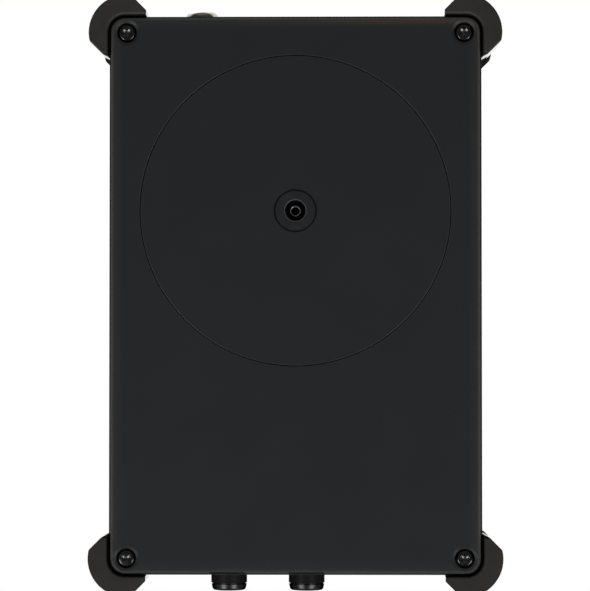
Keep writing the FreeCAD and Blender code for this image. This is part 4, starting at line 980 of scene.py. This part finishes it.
def makeCaseScrews(material):
    low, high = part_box("bottom_screws")
    s = caseScrew
    underHead = low[2] + s["rise"]
    points = screwPoints(s, high[2] - underHead)
    grids = []
    for signX in (-1, 1):
        for signY in (-1, 1):
            centre = (signX * (high[0] - s["head"]), signY * (high[1] - s["head"]), underHead)
            grids.append((alongAxis(points, centre, (0, 0, 1), (1, 0, 0)), False, True))
    buildPiece("case_screws", grids, "case", material, ["bottom_screws"])


# Two screws hold each of the four round sockets, at opposite corners, with heads to the rear.
def makeSocketScrews(material):
    low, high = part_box("socket_screws")
    s = socketScrew
    underHead = high[1] - s["rise"]
    points = screwPoints(s, underHead - low[1])
    step = (high[2] - low[2]) / 2 - s["head"]
    outer = high[0] - s["head"] - step
    middleZ = (low[2] + high[2]) / 2
    grids = []
    for x in np.linspace(-outer, outer, socketCount):
        for sign in (-1, 1):
            centre = (x - sign * step, underHead, middleZ + sign * step)
            grids.append((alongAxis(points, centre, (0, -1, 0), (1, 0, 0)), False, True))
    buildPiece("panel_screws", grids, "case", material, ["socket_screws"])


# Threaded sleeve in the mount bush: a turned ring whose bore carries a helical thread

insertShape = {
    "outer": 3.0 * mm, "bore": 1.65 * mm, "mouth": 0.4 * mm, "threadDepth": 0.3 * mm,
    "pitch": 0.7 * mm, "perPitch": 5, "back": 0.2 * mm, "edge": 0.35 * mm, "sunk": 0.3 * mm,
    "lip": 0.18 * mm, "lipSteps": 6, "columns": 96,
}


def makeInsert(material):
    low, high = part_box("mount_insert")
    s = insertShape
    length = high[2] - low[2]
    around = fullTurn(s["columns"])
    z = np.arange(length - s["back"], s["mouth"], -s["pitch"] / s["perPitch"])[:, None]
    phase = (z / s["pitch"] - around / (2 * math.pi)) % 1
    boreR = s["bore"] + s["threadDepth"] * np.abs(2 * phase - 1)
    # The mouth is a half round lip that stands proud of the end face
    lip = np.linspace(0, math.pi, 2 * s["lipSteps"])
    lipR = s["bore"] + s["lip"] * (1 - np.cos(lip))
    lipZ = s["lip"] * (1 - np.sin(lip))
    ringR = [s["bore"] + 2 * s["lip"], s["outer"] - s["edge"], s["outer"], s["outer"],
             s["bore"] + s["threadDepth"]]
    ringZ = [s["sunk"], s["sunk"], s["sunk"] + s["edge"], length, length]
    radius = np.concatenate([boreR, allRound(lipR, around), allRound(ringR, around)])
    height = np.concatenate([allRound(each, around) for each in (z, lipZ, ringZ)])
    middle = nodeMiddle("mount_insert")
    points = alongAxis(roundAxis(radius, height, around), (middle[0], middle[1], low[2]),
                       (0, 0, 1), (1, 0, 0))
    buildPiece("mount_sleeve", [(points, True, True)], "case", material,
               ["mount_insert"])


# Small printed and moulded marks: a line on each knob's end, dots round the knobs, a latch on
# each input socket

markShape = {
    "line": (0.28 * mm, 0.1 * mm, 1.15 * mm), "linePower": 0.35, "lineOut": 2.0 * mm,
    "faceSunk": 0.35 * mm, "dots": 11, "dotR": 0.36 * mm, "dotHigh": 0.02 * mm,
    "dotGrid": (7, 20), "dotOut": 9.6 * mm, "sweep": 150,
    "latch": (2.7 * mm, 0.45 * mm, 0.8 * mm), "latchPower": 0.4, "latchOut": 10.75 * mm,
}


def makeKnobLines(material):
    s = markShape
    for side in sides:
        low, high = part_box(side + "_knob_cap")
        centre = np.array([(low[0] + high[0]) / 2, low[1] + s["faceSunk"],
                           (low[2] + high[2]) / 2 + s["lineOut"]])
        bar = roundedBar(s["line"], s["linePower"]) + centre
        buildPiece(side + "_knob_line", [(bar, False, True)], side + "_knob",
                   material)


def makeKnobDots(material):
    s = markShape
    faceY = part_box("front_panel")[0][1]
    dot = roundedBar((s["dotR"], s["dotHigh"], s["dotR"]), 1.0, *s["dotGrid"])
    grids = []
    for side in sides:
        middle = nodeMiddle(side + "_knob_cap")
        for turn in np.radians(np.linspace(-s["sweep"], s["sweep"], s["dots"])):
            place = np.array((middle[0] + s["dotOut"] * math.sin(turn), faceY,
                              middle[2] + s["dotOut"] * math.cos(turn)))
            grids.append((dot + place, False, True))
    buildPiece("knob_dots", grids, "case", material)


def makeLatches(material):
    s = markShape
    grids = []
    for side in sides:
        low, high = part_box("combo_socket_" + side)
        place = np.array([(low[0] + high[0]) / 2, high[1],
                          low[2] + (high[2] - low[2]) / 2 + s["latchOut"]])
        grids.append((roundedBar(s["latch"], s["latchPower"]) + place, False, True))
    buildPiece("socket_latches", grids, "case", material)


# Scene settings and the order of making

scene = bpy.context.scene
scene.view_settings.view_transform = "Standard"
makeCamera()
makeWorld()
for boxName, softbox in softboxes.items():
    makeSoftbox(boxName, softbox)
makeFloor()
print("camera, world, lamps and floor made")

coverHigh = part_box("bottom_cover")[1]
dialCentre = joints["dial_turn"]["pos_m"]
slopeTurn = (slope, 0, 0)
bushMiddle = nodeMiddle("mount_bush")
glassLow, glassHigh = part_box("display_glass")
glassHalf = ((glassHigh[0] - glassLow[0]) / 2, (glassHigh[1] - glassLow[1]) / 2 / math.cos(slope))
knobXs = [joints[side + "_knob_turn"]["pos_m"][0] for side in sides]
grainedNodes = (
    ("housingCoat", housingCoat, ["top_housing"]),
    ("panelCoat", panelCoat, ["front_panel", "rear_panel"]),
    ("blackSteel", blackSteel, ["board_screws"]),
    ("bareSteel", bareSteel, ["corner_posts", "left_knob_shaft", "right_knob_shaft",
                              "dial_shaft", "dial_nut", "potentiometer_nuts"]),
    ("nickel", nickel, ["line_jack_ferrule", "usb_socket"]),
    ("brass", brass, ["board_standoffs", "socket_contacts"]),
    ("chipResin", chipResin, ["board_chips", "usb_tongue"]),
    ("sinkAnodised", sinkAnodised, ["heat_sink"]),
    ("socketNylon", socketNylon, ["output_socket_left", "output_socket_right",
                                  "combo_socket_left", "combo_socket_right", "line_jack",
                                  "phones_jack", "instrument_jack", "power_socket",
                                  "power_switch", "potentiometers", "dial_encoder",
                                  "button_switches"]),
    ("nutNylon", nutNylon, ["jack_nuts"]),
    ("knobSoftCoat", knobSoftCoat, ["left_knob", "right_knob"]),
    ("buttonCoat", buttonCoat, ["left_front_button", "left_rear_button", "right_front_button",
                                "right_rear_button", "power_button"]),
    ("lightAcrylic", lightAcrylic, ["status_lights"]),
    ("screenDark", screenDark, ["display_panel"]),
)
for finishName, finishLook, dressed in grainedNodes:
    dress(grainedFinish(finishName, finishLook)[0], *dressed)
dress(coverFinish(coverHigh[:2], bushMiddle, knobXs), "bottom_cover")
dress(rubberFinish(), "rear_left_bumper", "rear_right_bumper",
      "front_left_bumper", "front_right_bumper")
dress(knobCapFinish(), "left_knob_cap", "right_knob_cap")
dress(zonedFinish("bushTurned", bushTurned, bushMiddle), "mount_bush")
dress(turnedFinish("dialCapSpun", dialCapSpun, dialCentre, slopeTurn)[0], "dial_cap")
dress(boardFinish(), "main_board", "control_board", "socket_board", "front_board")
dress(canFinish(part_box("board_capacitors")[1][2]), "board_capacitors")
dress(ribbonFinish(*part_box("ribbon_cable")), "ribbon_cable")
dress(glassFinish(nodeMiddle("display_glass"), slopeTurn, glassHalf), "display_glass")
print("materials made")

makeDial(turnedFinish("dialAnodised", dialAnodised, dialCentre, slopeTurn)[0])
screwFinish = grainedFinish("screwBlack", screwBlack)[0]
makeCaseScrews(screwFinish)
makeSocketScrews(screwFinish)
makeInsert(zonedFinish("insertTurned", insertTurned, bushMiddle))
print("turned pieces made")
printFinish = grainedFinish("whitePrint", whitePrint)[0]
makeKnobLines(printFinish)
makeKnobDots(printFinish)
makeLatches(grainedFinish("latchSteel", bareSteel)[0])
print("marks and latches made")
